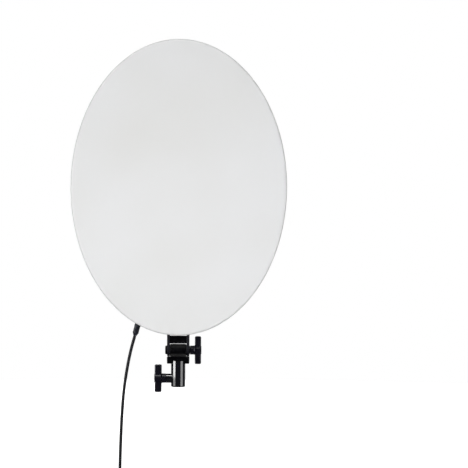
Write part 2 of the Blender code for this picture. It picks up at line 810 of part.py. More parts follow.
def make_leads():
    """The lead from the jack to the driver board, and the one on to the light source board."""
    start = on_plug_axis(-JACK_DEPTH - GAP)
    jack_route = [start, on_plug_axis(-JACK_DEPTH - 0.006)]
    jack_route += [Vector(place) for place in JACK_LEAD_ROUTE]
    line = smooth_route(jack_route, LEAD_STEP)
    sub_part("jack_lead", tube_curve("jack_lead", line, LEAD_R, 1), "component")
    line = smooth_route([Vector(place) for place in LED_LEAD_ROUTE], LEAD_STEP)
    sub_part("led_lead", tube_curve("led_lead", line, LEAD_R, 1), "component")


def make_yoke():
    """The yoke casting: two cheeks, the web between them and the feet inside the cover."""
    yoke = sub_part("yoke", blocks(
        "yoke", ((CHEEK_IN, -CHEEK_R, TILT_Z), (CHEEK_OUT, CHEEK_R, CHEEK_TOP_Z)),
        ((-CHEEK_OUT, -CHEEK_R, TILT_Z), (-CHEEK_IN, CHEEK_R, CHEEK_TOP_Z)),
    ), "black_casting")
    weld_on(yoke, rods("cheek_ends",
                       (CHEEK_R, (CHEEK_IN, 0, TILT_Z), (CHEEK_OUT, 0, TILT_Z)),
                       (CHEEK_R, (-CHEEK_OUT, 0, TILT_Z), (-CHEEK_IN, 0, TILT_Z))))
    weld_on(yoke, blocks("yoke_web", (
        (-CHEEK_IN - 0.001, -WEB_HALF_Y, TILT_Z + WEB_RADII[0]),
        (CHEEK_IN + 0.001, WEB_HALF_Y, TILT_Z + WEB_RADII[1]))))
    gusset_z = CHEEK_TOP_Z - 0.003
    weld_on(yoke, blocks(
        "yoke_gussets", ((CHEEK_IN, -0.002, gusset_z), (CHEEK_OUT, FOOT_Y[1], GUSSET_TOP_Z)),
        ((-CHEEK_OUT, -0.002, gusset_z), (-CHEEK_IN, FOOT_Y[1], GUSSET_TOP_Z))))
    weld_on(yoke, blocks(
        "yoke_feet",
        ((CHEEK_OUT - 0.001, FOOT_Y[0], FOOT_Z[0]), (FOOT_OUT, FOOT_Y[1], FOOT_Z[1])),
        ((-FOOT_OUT, FOOT_Y[0], FOOT_Z[0]), (-CHEEK_OUT + 0.001, FOOT_Y[1], FOOT_Z[1]))))
    cut(yoke, rods("pivot_hole", (PIVOT_HOLE_R, (-0.03, 0, TILT_Z), (0.03, 0, TILT_Z)), sides=16))
    holes = holes_for(M4_SCREW, 0.0, 0.0095, yoke_screw_places())
    cut(yoke, rods("foot_holes", *holes, sides=8))


def yoke_screw_places():
    """Where the yoke's four screws go."""
    return [(side * YOKE_SCREW_X, z) for side in (-1, 1) for z in YOKE_SCREW_Z]


def make_backing_plate():
    """The steel plate that ties the yoke's feet to the rear cover, and both sets of screws."""
    plate = sub_part("yoke_backing_plate", blocks("yoke_backing_plate", (
        (-PLATE_HALF_W, PLATE_Y[0], PLATE_Z[0]), (PLATE_HALF_W, PLATE_Y[1], PLATE_Z[1]))), "steel")
    holes = holes_for(M4_SCREW, 0.0, 0.008, yoke_screw_places())
    holes += holes_for(M3_SCREW, 0.0, 0.008, mirrored([PLATE_SCREW]))
    cut(plate, rods("backing_plate_holes", *holes, sides=8))
    near = CHEEK_IN - GAP
    far = CHEEK_OUT + GAP
    top = GUSSET_TOP_Z + GAP
    cut(plate, blocks("gusset_slots", ((-far, 0.0, PLATE_Z[0] - 0.001), (-near, 0.008, top)),
                      ((near, 0.0, PLATE_Z[0] - 0.001), (far, 0.008, top))))
    seat = PLATE_Y[0] - GAP
    screws("yoke_screw", M4_SCREW, YOKE_SCREW_LONG, seat, yoke_screw_places())
    screws("backing_plate_screw", M3_SCREW, PLATE_SCREW_LONG, seat, mirrored([PLATE_SCREW]))


def neck_mesh():
    """The knuckle's neck, which flares out at the front and back to meet the shoulder."""
    def outline(inset):
        deep = SHOULDER_HALF_Y - inset
        return [(-BARREL_HALF_W, -deep), (BARREL_HALF_W, -deep), (BARREL_HALF_W, deep),
                (-BARREL_HALF_W, deep)]

    waist = SHOULDER_HALF_Y - NECK_HALF_Y
    steps = ((0.0, TUBE_TOP_Z), (0.0, NECK_FLARE_Z[0]), (waist, NECK_FLARE_Z[1]), (waist, TILT_Z))
    mesh = layered("knuckle_neck", outline, steps)
    mesh.transform(Matrix.Rotation(math.radians(90), 4, "X"))
    return mesh


def make_knuckle():
    """The block that carries the tilt pivot and takes the socket tube."""
    block = sub_part("knuckle_block", blocks("knuckle_block", (
        (-SHOULDER_HALF_W, -SHOULDER_HALF_Y, SHOULDER_Z[0]),
        (SHOULDER_HALF_W, SHOULDER_HALF_Y, SHOULDER_Z[1]))), "black_casting")
    bevel(block, SHOULDER_EDGE, 3)
    past_x = SHOULDER_HALF_W + OVERSHOOT
    past_y = SHOULDER_HALF_Y + OVERSHOOT
    below = SHOULDER_Z[0] - OVERSHOOT
    cut(block, blocks("lug_reliefs", ((-past_x, -past_y, below), (past_x, -LUG_HALF_Y, LUG_TOP_Z)),
                      ((-past_x, LUG_HALF_Y, below), (past_x, past_y, LUG_TOP_Z))))
    weld_on(block, neck_mesh())
    weld_on(block, rods("knuckle_barrel", (
        CHEEK_R, (-BARREL_HALF_W, 0, TILT_Z), (BARREL_HALF_W, 0, TILT_Z))))
    cut(block, rods("barrel_bore", (PIVOT_HOLE_R, (-0.02, 0, TILT_Z), (0.02, 0, TILT_Z)), sides=16))
    cut(block, rods("tube_pocket", (
        TUBE_R + GAP, (0, 0, SHOULDER_Z[0] - 0.002), (0, 0, TUBE_TOP_Z + GAP))))


def make_socket_tube():
    """The steel socket tube with the boss that the clamp screw threads into."""
    tube = turned("socket_tube", "black_gloss", (
        (TUBE_R, TUBE_TOP_Z), (TUBE_R, TUBE_EDGE), (TUBE_R - TUBE_EDGE, 0.0), (BORE_R, 0.0),
        (BORE_R, TUBE_TOP_Z),
    ), True, (0, 0, 1), (0, 0, 0))
    weld_on(tube, rods("clamp_boss", (
        BOSS_R, (-BOSS_OUT, 0, CLAMP_Z), (-(TUBE_R + BORE_R) / 2, 0, CLAMP_Z))))
    cut(tube, rods("clamp_screw_hole", (
        CLAMP_SCREW_R + GAP, (-0.03, 0, CLAMP_Z), (-0.004, 0, CLAMP_Z)), sides=16))


def make_pivot():
    """The pivot bolt through the cheeks and the barrel."""
    head_r, head_high = PIVOT_HEAD
    seat = -CHEEK_OUT - GAP
    turned("pivot_bolt", "black_casting", (
        (0.0, PIVOT_END_X), (PIVOT_R - PIVOT_EDGE, PIVOT_END_X),
        (PIVOT_R, PIVOT_END_X - PIVOT_EDGE), (PIVOT_R, seat), (head_r, seat),
        (head_r, seat - head_high * PIVOT_HEAD_SIDE),
        (head_r * PIVOT_HEAD_TOP, seat - head_high),
        (0.0, seat - head_high),
    ), False, (1, 0, 0), (0, 0, TILT_Z), 16)


def make_friction_discs():
    """The two friction discs between the barrel and the cheeks."""
    for side, name in ((-1, "left"), (1, "right")):
        low, high = sorted((side * (CHEEK_IN - GAP), side * (CHEEK_IN - GAP - DISC_THICK)))
        turned(f"friction_disc_{name}", "component", ring_profile(DISC_R, PIVOT_HOLE_R, low, high),
               True, (1, 0, 0), (0, 0, TILT_Z), 16)


def t_handle(name, side, stem_r, stem_x, bar_x, centre_z, cavity_r, cavity_end):
    """A moulded T handle: stem, cross bar and the cavity that its metal part sits in."""
    low, high = sorted((side * bar_x[0], side * bar_x[1]))
    handle = sub_part(name, blocks(name, (
        (low, -HANDLE_BAR_HALF_Y, centre_z - HANDLE_BAR_HALF),
        (high, HANDLE_BAR_HALF_Y, centre_z + HANDLE_BAR_HALF))), "handle")
    bevel(handle, HANDLE_EDGE, 2)
    weld_on(handle, rods(f"{name}_stem", (
        stem_r, (side * stem_x, 0, centre_z), (side * (bar_x[1] + HUB_PROUD), 0, centre_z)),
        sides=20))
    cut(handle, rods(f"{name}_cavity", (
        cavity_r, (side * (stem_x - OVERSHOOT), 0, centre_z), (side * cavity_end, 0, centre_z)),
        sides=16))


def make_tilt_handle():
    """The tilt handle, its threaded insert and the washer under it."""
    t_handle("tilt_handle", 1, TILT_STEM_R, TILT_STEM_X, TILT_BAR_X, TILT_Z,
             INSERT_R + GAP, INSERT_X[1] + GAP)
    turned("tilt_handle_insert", "brass", ring_profile(INSERT_R, PIVOT_HOLE_R, *INSERT_X),
           True, (1, 0, 0), (0, 0, TILT_Z), 16)
    turned("tilt_washer", "black_casting", ring_profile(PIVOT_HEAD[0], PIVOT_HOLE_R, *TILT_WASHER_X),
           True, (1, 0, 0), (0, 0, TILT_Z), 16)


def make_clamp_handle():
    """The clamp handle and the screw moulded into it."""
    t_handle("clamp_handle", -1, CLAMP_STEM_R, CLAMP_STEM_X, CLAMP_BAR_X, CLAMP_Z,
             CLAMP_SCREW_R + GAP, CLAMP_SCREW_X[1] + GAP)
    tip, end = CLAMP_SCREW_X
    turned("clamp_screw", "steel", (
        (0.0, -tip), (CLAMP_SCREW_R - CLAMP_TIP_EDGE, -tip),
        (CLAMP_SCREW_R, -tip - CLAMP_TIP_EDGE), (CLAMP_SCREW_R, -end), (0.0, -end),
    ), False, (1, 0, 0), (0, 0, CLAMP_Z), 16)


def make_plug_and_jack():
    """The DC plug in the rim, its barrel contact, and the jack behind the rim."""
    foot = on_plug_axis(0)
    inward = on_plug_axis(-1) - foot
    plug = turned("dc_plug", "cord", (
        (0.0, PLUG_IN), (PLUG_R, PLUG_IN), (PLUG_R, -PLUG_TAPER), (PLUG_TIP_R, -PLUG_OUT),
        (0.0, -PLUG_OUT),
    ), False, inward, foot, 20)
    pin_hole_r = BARREL_PIN_R + GAP
    cut(plug, rods("plug_cavity", (
        pin_hole_r, on_plug_axis(-PLUG_IN - OVERSHOOT), on_plug_axis(PLUG_BORE_END)), sides=12))
    turned("dc_plug_barrel", "steel",
           ring_profile(BARREL_PIN_R, BARREL_PIN_BORE, GAP - PLUG_BORE_END, BARREL_PIN_END),
           True, inward, foot, 12)
    bm = bmesh.new()
    add_block(bm, (-JACK_HALF_W, -JACK_HALF_Y, JACK_FRONT), (JACK_HALF_W, JACK_HALF_Y, JACK_DEPTH))
    bm.transform(plug_frame())
    jack = sub_part("dc_jack", mesh_from(bm, "dc_jack"), "component")
    cut(jack, rods("jack_bore", (
        pin_hole_r, on_plug_axis(OVERSHOOT - PLUG_IN), on_plug_axis(-JACK_BORE_END)), sides=12))
    tip, taper, root = CENTRE_PIN_Z
    cut(jack, rods("jack_pin_hole", (
        CENTRE_PIN_R + GAP, on_plug_axis(OVERSHOOT - JACK_BORE_END), on_plug_axis(-root - GAP)),
        sides=12))
    turned("jack_centre_pin", "brass", (
        (0.0, root), (CENTRE_PIN_R, root), (CENTRE_PIN_R, taper), (CENTRE_PIN_R * 0.5, tip),
        (0.0, tip),
    ), False, inward, foot, 12)


def coil_line():
    """The coil's centreline: one layer spiralling in, the climb, one layer spiralling out."""
    middle = COIL_TURNS / 2
    count = round(COIL_TURNS * COIL_POINTS)
    line = []
    for i in range(count + 1):
        turn = i / COIL_POINTS
        radius = COIL_IN_R + COIL_PITCH * abs(turn - middle)
        climb = min(1.0, max(0.0, 2 * (turn - middle) + 0.5))
        height = COIL_LOW_Z + (COIL_HIGH_Z - COIL_LOW_Z) * climb * climb * (3 - 2 * climb)
        angle = math.pi / 2 - 2 * math.pi * turn
        line.append(Vector((COIL_X + radius * math.cos(angle), COIL_Y + radius * math.sin(angle),
                            height)))
    first = line[0] - Vector((CORD_D, 0, 0))
    last = line[-1] - Vector((CORD_D, 0, 0))
    return [first, *line, last]


def least_gap(line):
    """The least gap between a wound tube's turns, measured between points of its line."""
    apart = COIL_POINTS // 2
    least = min((a - b).length for i, a in enumerate(line) for b in line[i + apart:])
    return least - CORD_D


def make_cord():
    """The supply cord: the hanging stretch, the wound coil with its tie, and the tail."""
    coil = coil_line()
    run = Vector((CORD_D, 0, 0))
    gap = Vector((GAP, 0, 0))
    landing = coil[0] - gap
    route = [on_plug_axis(PLUG_OUT + GAP), on_plug_axis(PLUG_OUT + GAP + CORD_D)]
    route += [Vector(place) for place in CORD_ROUTE]
    route += [landing - run, landing]
    hanging = smooth_route(route, CORD_STEP)
    begin = coil[-1] - gap
    relief = Vector((ADAPTER_X[1] + RELIEF_LONG + GAP, ADAPTER_Y, COIL_HIGH_Z))
    route = [begin, begin - run]
    route += [Vector((x, y, COIL_HIGH_Z)) for x, y in TAIL_ROUTE]
    route += [relief + run, relief]
    tail = smooth_route(route, CORD_STEP)
    sub_part("dc_cord", tube_curve("dc_cord", hanging, CORD_D / 2, 2), "cord")
    sub_part("dc_cord_coil", tube_curve("dc_cord_coil", coil, CORD_D / 2, 1), "cord")
    sub_part("dc_cord_tail", tube_curve("dc_cord_tail", tail, CORD_D / 2, 2), "cord")
    lengths = [length_of(line) for line in (hanging, coil, tail)]
    print("cord lengths:", [round(x, 4) for x in lengths], "total", round(sum(lengths), 3))
    print("coil least gap (mm):", round(least_gap(coil) * 1000, 2))


def make_tie():
    """The strap round the coil's bundle of turns, on the side away from the cord's ends."""
    radius = CORD_D / 2
    low = Vector((COIL_X + COIL_IN_R - radius - TIE_INNER, COIL_Y - TIE_WIDTH / 2,
                  COIL_LOW_Z - radius - GAP))
    high = Vector((COIL_X + COIL_OUT_R + radius + TIE_OUTER, COIL_Y + TIE_WIDTH / 2,
                   COIL_HIGH_Z + radius + GAP))
    wall = Vector((TIE_THICK, 0, TIE_THICK))
    past = Vector((0, OVERSHOOT, 0))
    tie = sub_part("cord_tie", blocks("cord_tie", (low - wall, high + wall)), "component")
    cut(tie, blocks("tie_opening", (low - past, high + past)))


def make_adapter():
    """The plug-top power adapter: two shells, circuit block, two flat pins, strain relief."""
    low = Vector((ADAPTER_X[0], ADAPTER_Y - ADAPTER_HALF_Y, FLOOR_Z))
    high = Vector((ADAPTER_X[1], ADAPTER_Y + ADAPTER_HALF_Y, FLOOR_Z + ADAPTER_H))
    middle = FLOOR_Z + ADAPTER_H / 2
    wall = Vector((ADAPTER_WALL, ADAPTER_WALL, ADAPTER_WALL))
    past = Vector((OVERSHOOT, OVERSHOOT, 0))
    shells = []
    for name, bottom, top in (("adapter_case_lower", low.z - OVERSHOOT, middle - GAP / 2),
                              ("adapter_case_upper", middle + GAP / 2, high.z + OVERSHOOT)):
        shell = sub_part(name, blocks(name, (low, high)), "adapter")
        bevel(shell, ADAPTER_EDGE, 3)
        cut(shell, blocks(f"{name}_inside", (low + wall, high - wall)))
        half = blocks(f"{name}_half", ((*(low - past).xy, bottom), (*(high + past).xy, top)))
        boolean(shell, tool(half.name, half), "INTERSECT")
        shells.append(shell)
    lower, upper = shells
    root = Vector((high.x, ADAPTER_Y, COIL_HIGH_Z))
    out = Vector((1, 0, 0))
    cut(lower, rods("relief_hole", (
        RELIEF_ROOT_R + GAP, root - out * RELIEF_ROOT, root + out * OVERSHOOT), sides=12))
    tip_r = RELIEF_R[1]
    turned("adapter_strain_relief", "cord", (
        (0.0, RELIEF_LONG), (tip_r, RELIEF_LONG), (RELIEF_R[0], GAP), (RELIEF_ROOT_R, GAP),
        (RELIEF_ROOT_R, -RELIEF_ROOT), (0.0, -RELIEF_ROOT),
    ), False, out, root, 12)
    room = wall + Vector((CIRCUIT_GAP, CIRCUIT_GAP, CIRCUIT_GAP))
    ends = Vector((CIRCUIT_END_ROOM, 0, CIRCUIT_TOP_ROOM))
    sub_part("adapter_circuit", blocks("adapter_circuit", (low + room, high - room - ends)),
             "component")
    for word, side in (("left", -1), ("right", 1)):
        y = ADAPTER_Y + side * PIN_PITCH / 2
        cut(upper, blocks(f"pin_slot_{word}", (
            (PIN_X - PIN_HALF_X - GAP, y - PIN_HALF_Y - GAP, high.z - ADAPTER_WALL - OVERSHOOT),
            (PIN_X + PIN_HALF_X + GAP, y + PIN_HALF_Y + GAP, high.z + OVERSHOOT))))
        pin = sub_part(f"adapter_pin_{word}", blocks(f"adapter_pin_{word}", (
            (PIN_X - PIN_HALF_X, y - PIN_HALF_Y, high.z - PIN_ROOT),
            (PIN_X + PIN_HALF_X, y + PIN_HALF_Y, high.z + PIN_LONG))), "steel")
        bevel(pin, PIN_EDGE, 1)


def joint_empty(name, place, parent=None):
    """An empty on a joint's axis, parented to the body that the joint hangs on."""
    made = new_object(name, None, PARTS)
    made.empty_display_size = 0.02
    made.location = place
    if parent:
        bpy.context.view_layer.update()
        made.parent = parent
        made.matrix_parent_inverse = parent.matrix_world.inverted()
    return made


def ride(empty, parts):
    """Parent sub-parts to a joint's empty where they stand."""
    bpy.context.view_layer.update()
    for part in parts:
        part.parent = empty
        part.matrix_parent_inverse = empty.matrix_world.inverted()


def main():
    """Build every sub-part and hang the moving ones on their joints' axes."""
    make_rear_cover()
    make_front_diffuser()
    make_badge_plate()
    make_led_board()
    screws("led_board_screw", M3_SCREW, LED_SCREW_LONG, LED_BOARD_FRONT_Y - GAP,
           led_screw_places())
    make_driver_board()
    screws("driver_board_screw", M25_SCREW, DRIVER_SCREW_LONG, DRIVER_Y[0] - GAP,
           driver_screw_places())
    make_leads()
    make_yoke()
    make_backing_plate()
    make_pivot()
    make_plug_and_jack()
    head_parts = list(PARTS.objects)
    make_tilt_handle()
    tilt_handle_parts = [part for part in PARTS.objects if part not in head_parts]
    make_clamp_handle()
    still = head_parts + tilt_handle_parts
    clamp_handle_parts = [part for part in PARTS.objects if part not in still]
    make_knuckle()
    make_socket_tube()
    make_friction_discs()
    make_cord()
    make_tie()
    make_adapter()

    head = joint_empty("head_tilt_axis", (0, 0, TILT_Z))
    ride(head, head_parts)
    tilt_turn = joint_empty("tilt_handle_axis", (TILT_STEM_X, 0, TILT_Z), head)
    ride(tilt_turn, tilt_handle_parts)
    clamp_turn = joint_empty("clamp_handle_axis", (-CLAMP_STEM_X, 0, CLAMP_Z))
    ride(clamp_turn, clamp_handle_parts)


main()
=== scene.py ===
"""Looks of an oval LED soft light panel: studio, cord, shells, badge, yoke, socket and handles.

Everything is in metres, in the part's own frame: +Z is up, the panel shines towards -Y, and the
origin is the centre of the stand socket's mouth.
"""
import json
import math
from functools import partial

import bmesh
import bpy
from mathutils import Matrix, Vector


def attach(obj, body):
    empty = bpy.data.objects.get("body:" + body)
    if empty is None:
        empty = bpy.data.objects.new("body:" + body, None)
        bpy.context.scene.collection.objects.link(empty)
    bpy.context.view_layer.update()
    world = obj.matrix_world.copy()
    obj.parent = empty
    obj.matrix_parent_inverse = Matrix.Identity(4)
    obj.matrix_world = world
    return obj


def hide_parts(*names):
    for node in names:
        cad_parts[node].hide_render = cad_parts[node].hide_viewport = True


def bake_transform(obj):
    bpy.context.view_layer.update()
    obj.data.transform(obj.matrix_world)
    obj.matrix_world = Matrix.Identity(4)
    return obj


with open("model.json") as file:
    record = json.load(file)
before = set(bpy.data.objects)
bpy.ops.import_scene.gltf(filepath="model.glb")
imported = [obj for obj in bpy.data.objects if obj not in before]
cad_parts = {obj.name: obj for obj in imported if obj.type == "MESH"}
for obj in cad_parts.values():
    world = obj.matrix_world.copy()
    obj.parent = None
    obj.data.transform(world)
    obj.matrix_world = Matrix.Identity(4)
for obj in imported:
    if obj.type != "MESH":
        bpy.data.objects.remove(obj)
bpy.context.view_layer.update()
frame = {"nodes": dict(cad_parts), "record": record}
bpy.context.scene.view_settings.view_transform = "Standard"

# The view: what the frame's centre looks at, how wide it is there, and how far the camera stands
VIEW_X = 0.0906
VIEW_Z = 0.2516
VIEW_WIDTH = 0.7642
VIEW_DISTANCE = 3.0
VIEW_ROLL = math.radians(-0.30)
SENSOR = 36.0

# Studio: the plain light all round, the floor, and the glow that lets the floor render white
SKY = (0.97, 0.98, 1.0, 1.0)
SKY_STRENGTH = 0.45
WHITE = (1.0, 1.0, 1.0, 1.0)
FLOOR_GREY = (0.60, 0.60, 0.60, 1.0)
FLOOR_GLOW = 0.80
FLOOR_R = 2.2
FLOOR_MID_Y = 0.4
FLOOR_BELOW = 0.0004

# Lamps: name, place, what it faces, size, power, and whether it gives light, gloss or both
LAMPS = (
    ("key", (0.0, -0.9, 0.22), (0, 0, 0.26), (0.5, 0.3), 2.9, "light"),
    ("fill_right", (0.9, -2.3, 0.6), (0, 0, 0.3), (0.8, 1.2), 2.4, "light"),
    ("side_left", (-1.8, -0.6, 1.2), (0, 0, 0.3), (0.8, 1.2), 1.5, "light"),
    ("top", (-0.5, -0.6, 2.1), (0, 0, 0.3), (1.6, 1.0), 7, "both"),
    ("rear_left", (-0.5, 2.4, 0.8), (0, 0, 0.3), (0.9, 1.2), 17, "both"),
    ("rear_right", (0.5, 2.4, 0.8), (0, 0, 0.3), (0.9, 1.2), 15, "both"),
    ("left_card", (-0.891, -0.454, 0.238), (0, 0, 0.238), (0.69, 0.6), 165, "gloss"),
    ("left_low_card", (-0.891, -0.454, -0.1), (0, 0, -0.1), (0.69, 0.076), 4.9, "gloss"),
    ("right_card", (0.866, -0.5, -0.04), (0, 0, -0.04), (0.67, 0.25), 20, "gloss"),
    ("top_card", (0.0, -0.9, 2.1), (0, 0, 0.02), (1.5, 0.5), 300, "gloss"),
)

# Panel shells, as in the part
GAP = 0.0003
HALF_W = 0.177
HALF_H = 0.2424
MID_Z = 0.3276
RIM_Z = MID_Z - HALF_H
FRONT_Y = -0.019
REAR_Y = 0.011
PARTING_Y = -0.011
OVAL_SIDES = 256
COVER_WALL = 0.0024
COVER_EDGE = 0.005
DIFFUSER_WALL = 0.002
DIFFUSER_EDGE = 0.0035
LIP_INSET = 0.00235
LIP_REACH = 0.005

# Vents in the rear cover
VENT_OFFSETS = (0.129, -0.134)
VENT_HALF_W = 0.093
VENT_HALF_H = 0.055
VENT_END = 0.042
VENT_COUNT = 17
VENT_PITCH = 0.0102
VENT_SLOT_W = 0.0068
VENT_MARGIN = 0.006
GROOVE_W = 0.0032
GROOVE_DEPTH = 0.0012
SIDE_SLOTS = 4
SIDE_SLOT_FIRST = 0.110
SIDE_SLOT_PITCH = 0.010
SIDE_SLOT_W = 0.006
SIDE_SLOT_H = 0.146
SIDE_SLOT_OFFSET = -0.007
SLOT_SIDES = 24
STADIUM_ARC = 24
CUTTER_DEEP = 0.012
CUTTER_Y = REAR_Y - 0.003
GROOVE_SLOPE = 0.0008

# Painted shade: slots darken inside this share of the rim's radius, squared. Dust, which also paints
# sheen on upward cast faces, is a warm grey
SHADE_LIMIT = 0.88
DUST_AND_SHEEN_COLOUR = (0.55, 0.54, 0.52)

# Badge plate
BADGE_HALF_W = 0.0935
BADGE_HALF_H = 0.058
BADGE_END = 0.040
BADGE_MID_Z = MID_Z - 0.004
BADGE_HIGH = 0.0026
BADGE_NOTCH = 0.005

# Yoke, knuckle, socket and handles
TILT_Z = 0.0606
CLAMP_Z = 0.0142
PIVOT = (0, 0, TILT_Z)
CLAMP = (0, 0, CLAMP_Z)
MOUTH = (0, 0, 0)
RIGHT = (1, 0, 0)
LEFT = (-1, 0, 0)
BACK = (0, 1, 0)
UP = (0, 0, 1)
CHEEK_IN = 0.0140
CHEEK_OUT = 0.0182
CHEEK_R = 0.010
CHEEK_TOP_Z = RIM_Z + 0.0227
CHEEK_ROOM = 0.00035
CHEEK_SLOT_Y = (-0.03, 0.02)
CHEEK_SLOT_Z = (RIM_Z - 0.01, RIM_Z + 0.023)
WEB_Z = (TILT_Z + 0.0106, TILT_Z + 0.0235)
WEB_HALF_Y = 0.002
WEB_END = CHEEK_IN + 0.0005
GUSSET_Y = (-0.002, 0.0083)
GUSSET_TOP_Z = 0.1255
FOOT_OUT = 0.036
FOOT_Y = (0.0050, 0.0083)
FOOT_Z = (0.100, 0.1295)
FOOT_HOLE_R = 0.0023
FOOT_HOLE_Y = (0.004, 0.010)
FOOT_HOLES = ((0.027, 0.1095), (0.027, 0.1235))
BARREL_HALF_W = 0.0126
BARREL_EDGE = 0.0008
SHOULDER_HALF_W = 0.0182
SHOULDER_HALF_Y = 0.014
SHOULDER_Z = (0.0385, 0.0503)
SHOULDER_EDGE = 0.0014
LUG_TOP_Z = 0.0432
LUG_HALF_Y = 0.0075
NECK_HALF_Y = 0.0098
NECK_FLARE_Z = (0.0507, 0.0549)
TUBE_R = 0.0118
BORE_R = 0.0082
TUBE_TOP_Z = 0.0465
TUBE_EDGE = 0.0015
BOSS_R = 0.0078
BOSS_OUT = 0.0199
SCREW_HOLE_R = 0.0043
PIVOT_R = 0.003
PIVOT_END = 0.033
PIVOT_HEAD_R = 0.0072
PIVOT_HEAD_HIGH = 0.0029
PIVOT_HEX_R = 0.0023
PIVOT_HEX_DEEP = 0.0018
HANDLE_HALF = 0.0228
HANDLE_HALF_Y = 0.0055
HANDLE_EDGE = 0.0022
STEM_FLARE = 0.0022
STEM_EDGE = 0.0004
HUB_EDGE = 0.0008
HUB_PROUD = 0.0005

# DC plug
PLUG_FOOT = Vector((-0.0666, 0.0025, 0.1030))
PLUG_LEAN = math.radians(14.5)
PLUG_R = 0.0050
PLUG_OUT = 0.0201
PLUG_TAPER = 0.0148
PLUG_TIP_R = 0.0029
PLUG_IN = 0.0040
PLUG_BORE_R = 0.00305
PLUG_BORE_END = 0.0058
PLUG_HOLE = (-0.0042, 0.012)
RIBS = 5
RIB_PITCH = 0.0022
PLUG_RIB_FIRST = 0.0055
PLUG_RIB_DEEP = 0.00045

# Cord, coil and adapter, as in the part
CORD_D = 0.0050
CORD_SIDES = 16
ROUTE_STEP = 0.008
ROUTE_PARTS = 20
FLOOR_Z = -0.195
CORD_ROUTE = (
    (-0.0749, 0.0025, 0.0716), (-0.0773, 0.0024, 0.0625), (-0.0816, 0.0022, 0.0427),
    (-0.0850, 0.0020, 0.0230), (-0.0879, 0.0018, 0.0032), (-0.0900, 0.0016, -0.0165),
    (-0.0914, 0.0014, -0.0363), (-0.0927, 0.0012, -0.0600), (-0.0938, 0.0009, -0.0900),
    (-0.0946, 0.0006, -0.1200), (-0.0948, 0.0003, -0.1450), (-0.0937, 0.0001, -0.1660),
    (-0.0878, 0.0000, -0.1828), (-0.0775, 0.0000, -0.1898),
)
TIE_THICK = 0.0012
TIE_WIDTH = 0.008
TIE_SLACK = (0.0012, 0.0002)
COIL_X = -0.020
COIL_Y = -0.0352
COIL_TURNS = 6.5
COIL_POINTS = 24
COIL_PITCH = CORD_D + 0.0005
COIL_MEAN_R = 5.25 * CORD_D
COIL_IN_R = COIL_MEAN_R - COIL_PITCH * COIL_TURNS / 4
COIL_OUT_R = COIL_MEAN_R + COIL_PITCH * COIL_TURNS / 4
COIL_LOW_Z = FLOOR_Z + TIE_THICK + GAP + CORD_D / 2
COIL_HIGH_Z = COIL_LOW_Z + COIL_PITCH
TAIL_ROUTE = (
    (-0.0380, -0.0692), (-0.0470, -0.0660), (-0.0560, -0.0614), (-0.0660, -0.0567),
    (-0.0745, -0.0538),
)
ADAPTER_X = (-0.172, -0.098)
ADAPTER_Y = -0.053
ADAPTER_HALF_Y = 0.023
ADAPTER_H = 0.031
ADAPTER_EDGE = 0.003
ADAPTER_WALL = 0.002
CORD_HOLE_R = 0.0035
RELIEF_LONG = 0.013
RELIEF_TIP_R = 0.0033
RELIEF_GROWS = 0.0010
RELIEF_RIB_DEEP = 0.0006
PIN_X = -0.144
PIN_PITCH = 0.0127
PIN_HALF_X = 0.00318
PIN_HALF_Y = 0.00075
PIN_LONG = 0.017
PIN_ROOT = 0.0052
PIN_HOLE_R = 0.0015
PIN_HOLE_DOWN = 0.0042


# Node helpers

def math_node(tree, operation, *values):
    """A Math node's result. Each value is a number or another node's output."""
    node = tree.nodes.new("ShaderNodeMath")
    node.operation = operation
    for socket, value in zip(node.inputs, values):
        if isinstance(value, (int, float)):
            socket.default_value = value
        else:
            tree.links.new(value, socket)
    return node.outputs[0]


def ranged(tree, value, low, high, source=(0.3, 0.7)):
    """A value mapped to a range."""
    node = tree.nodes.new("ShaderNodeMapRange")
    node.inputs["From Min"].default_value = source[0]
    node.inputs["From Max"].default_value = source[1]
    node.inputs["To Min"].default_value = low
    node.inputs["To Max"].default_value = high
    tree.links.new(value, node.inputs["Value"])
    return node.outputs["Result"]


def ray_mask(tree, *kinds):
    """1 for the kinds of ray that are named, such as the camera's, and 0 for all others."""
    path = tree.nodes.new("ShaderNodeLightPath")
    mask = path.outputs[kinds[0]]
    for kind in kinds[1:]:
        mask = math_node(tree, "MAXIMUM", mask, path.outputs[kind])
    return mask


# Studio

def make_camera():
    """A level camera in front of the panel, turned a little as the photographed unit leans."""
    lens = SENSOR * (VIEW_DISTANCE + FRONT_Y) / VIEW_WIDTH
    data = bpy.data.cameras.new("camera")
    data.sensor_width = SENSOR
    data.lens = lens
    camera = bpy.data.objects.new("camera", data)
    bpy.context.scene.collection.objects.link(camera)
    camera.location = (VIEW_X, -VIEW_DISTANCE, VIEW_Z)
    camera.rotation_euler = (math.radians(90.0), VIEW_ROLL, 0.0)
    bpy.context.scene.camera = camera


def make_lamp(name, place, target, size, power, shows):
    """A soft rectangular lamp that faces a point, for plain light, for gloss alone, or for both."""
    data = bpy.data.lights.new(name, "AREA")
    data.shape = "RECTANGLE"
    data.size, data.size_y = size
    data.energy = power
    lamp = bpy.data.objects.new(name, data)
    bpy.context.scene.collection.objects.link(lamp)
    lamp.location = place
    aim = Vector(target) - Vector(place)
    lamp.rotation_euler = aim.to_track_quat("-Z", "Y").to_euler()
    lamp.visible_camera = False
    lamp.visible_diffuse = shows != "gloss"
    lamp.visible_glossy = shows != "light"


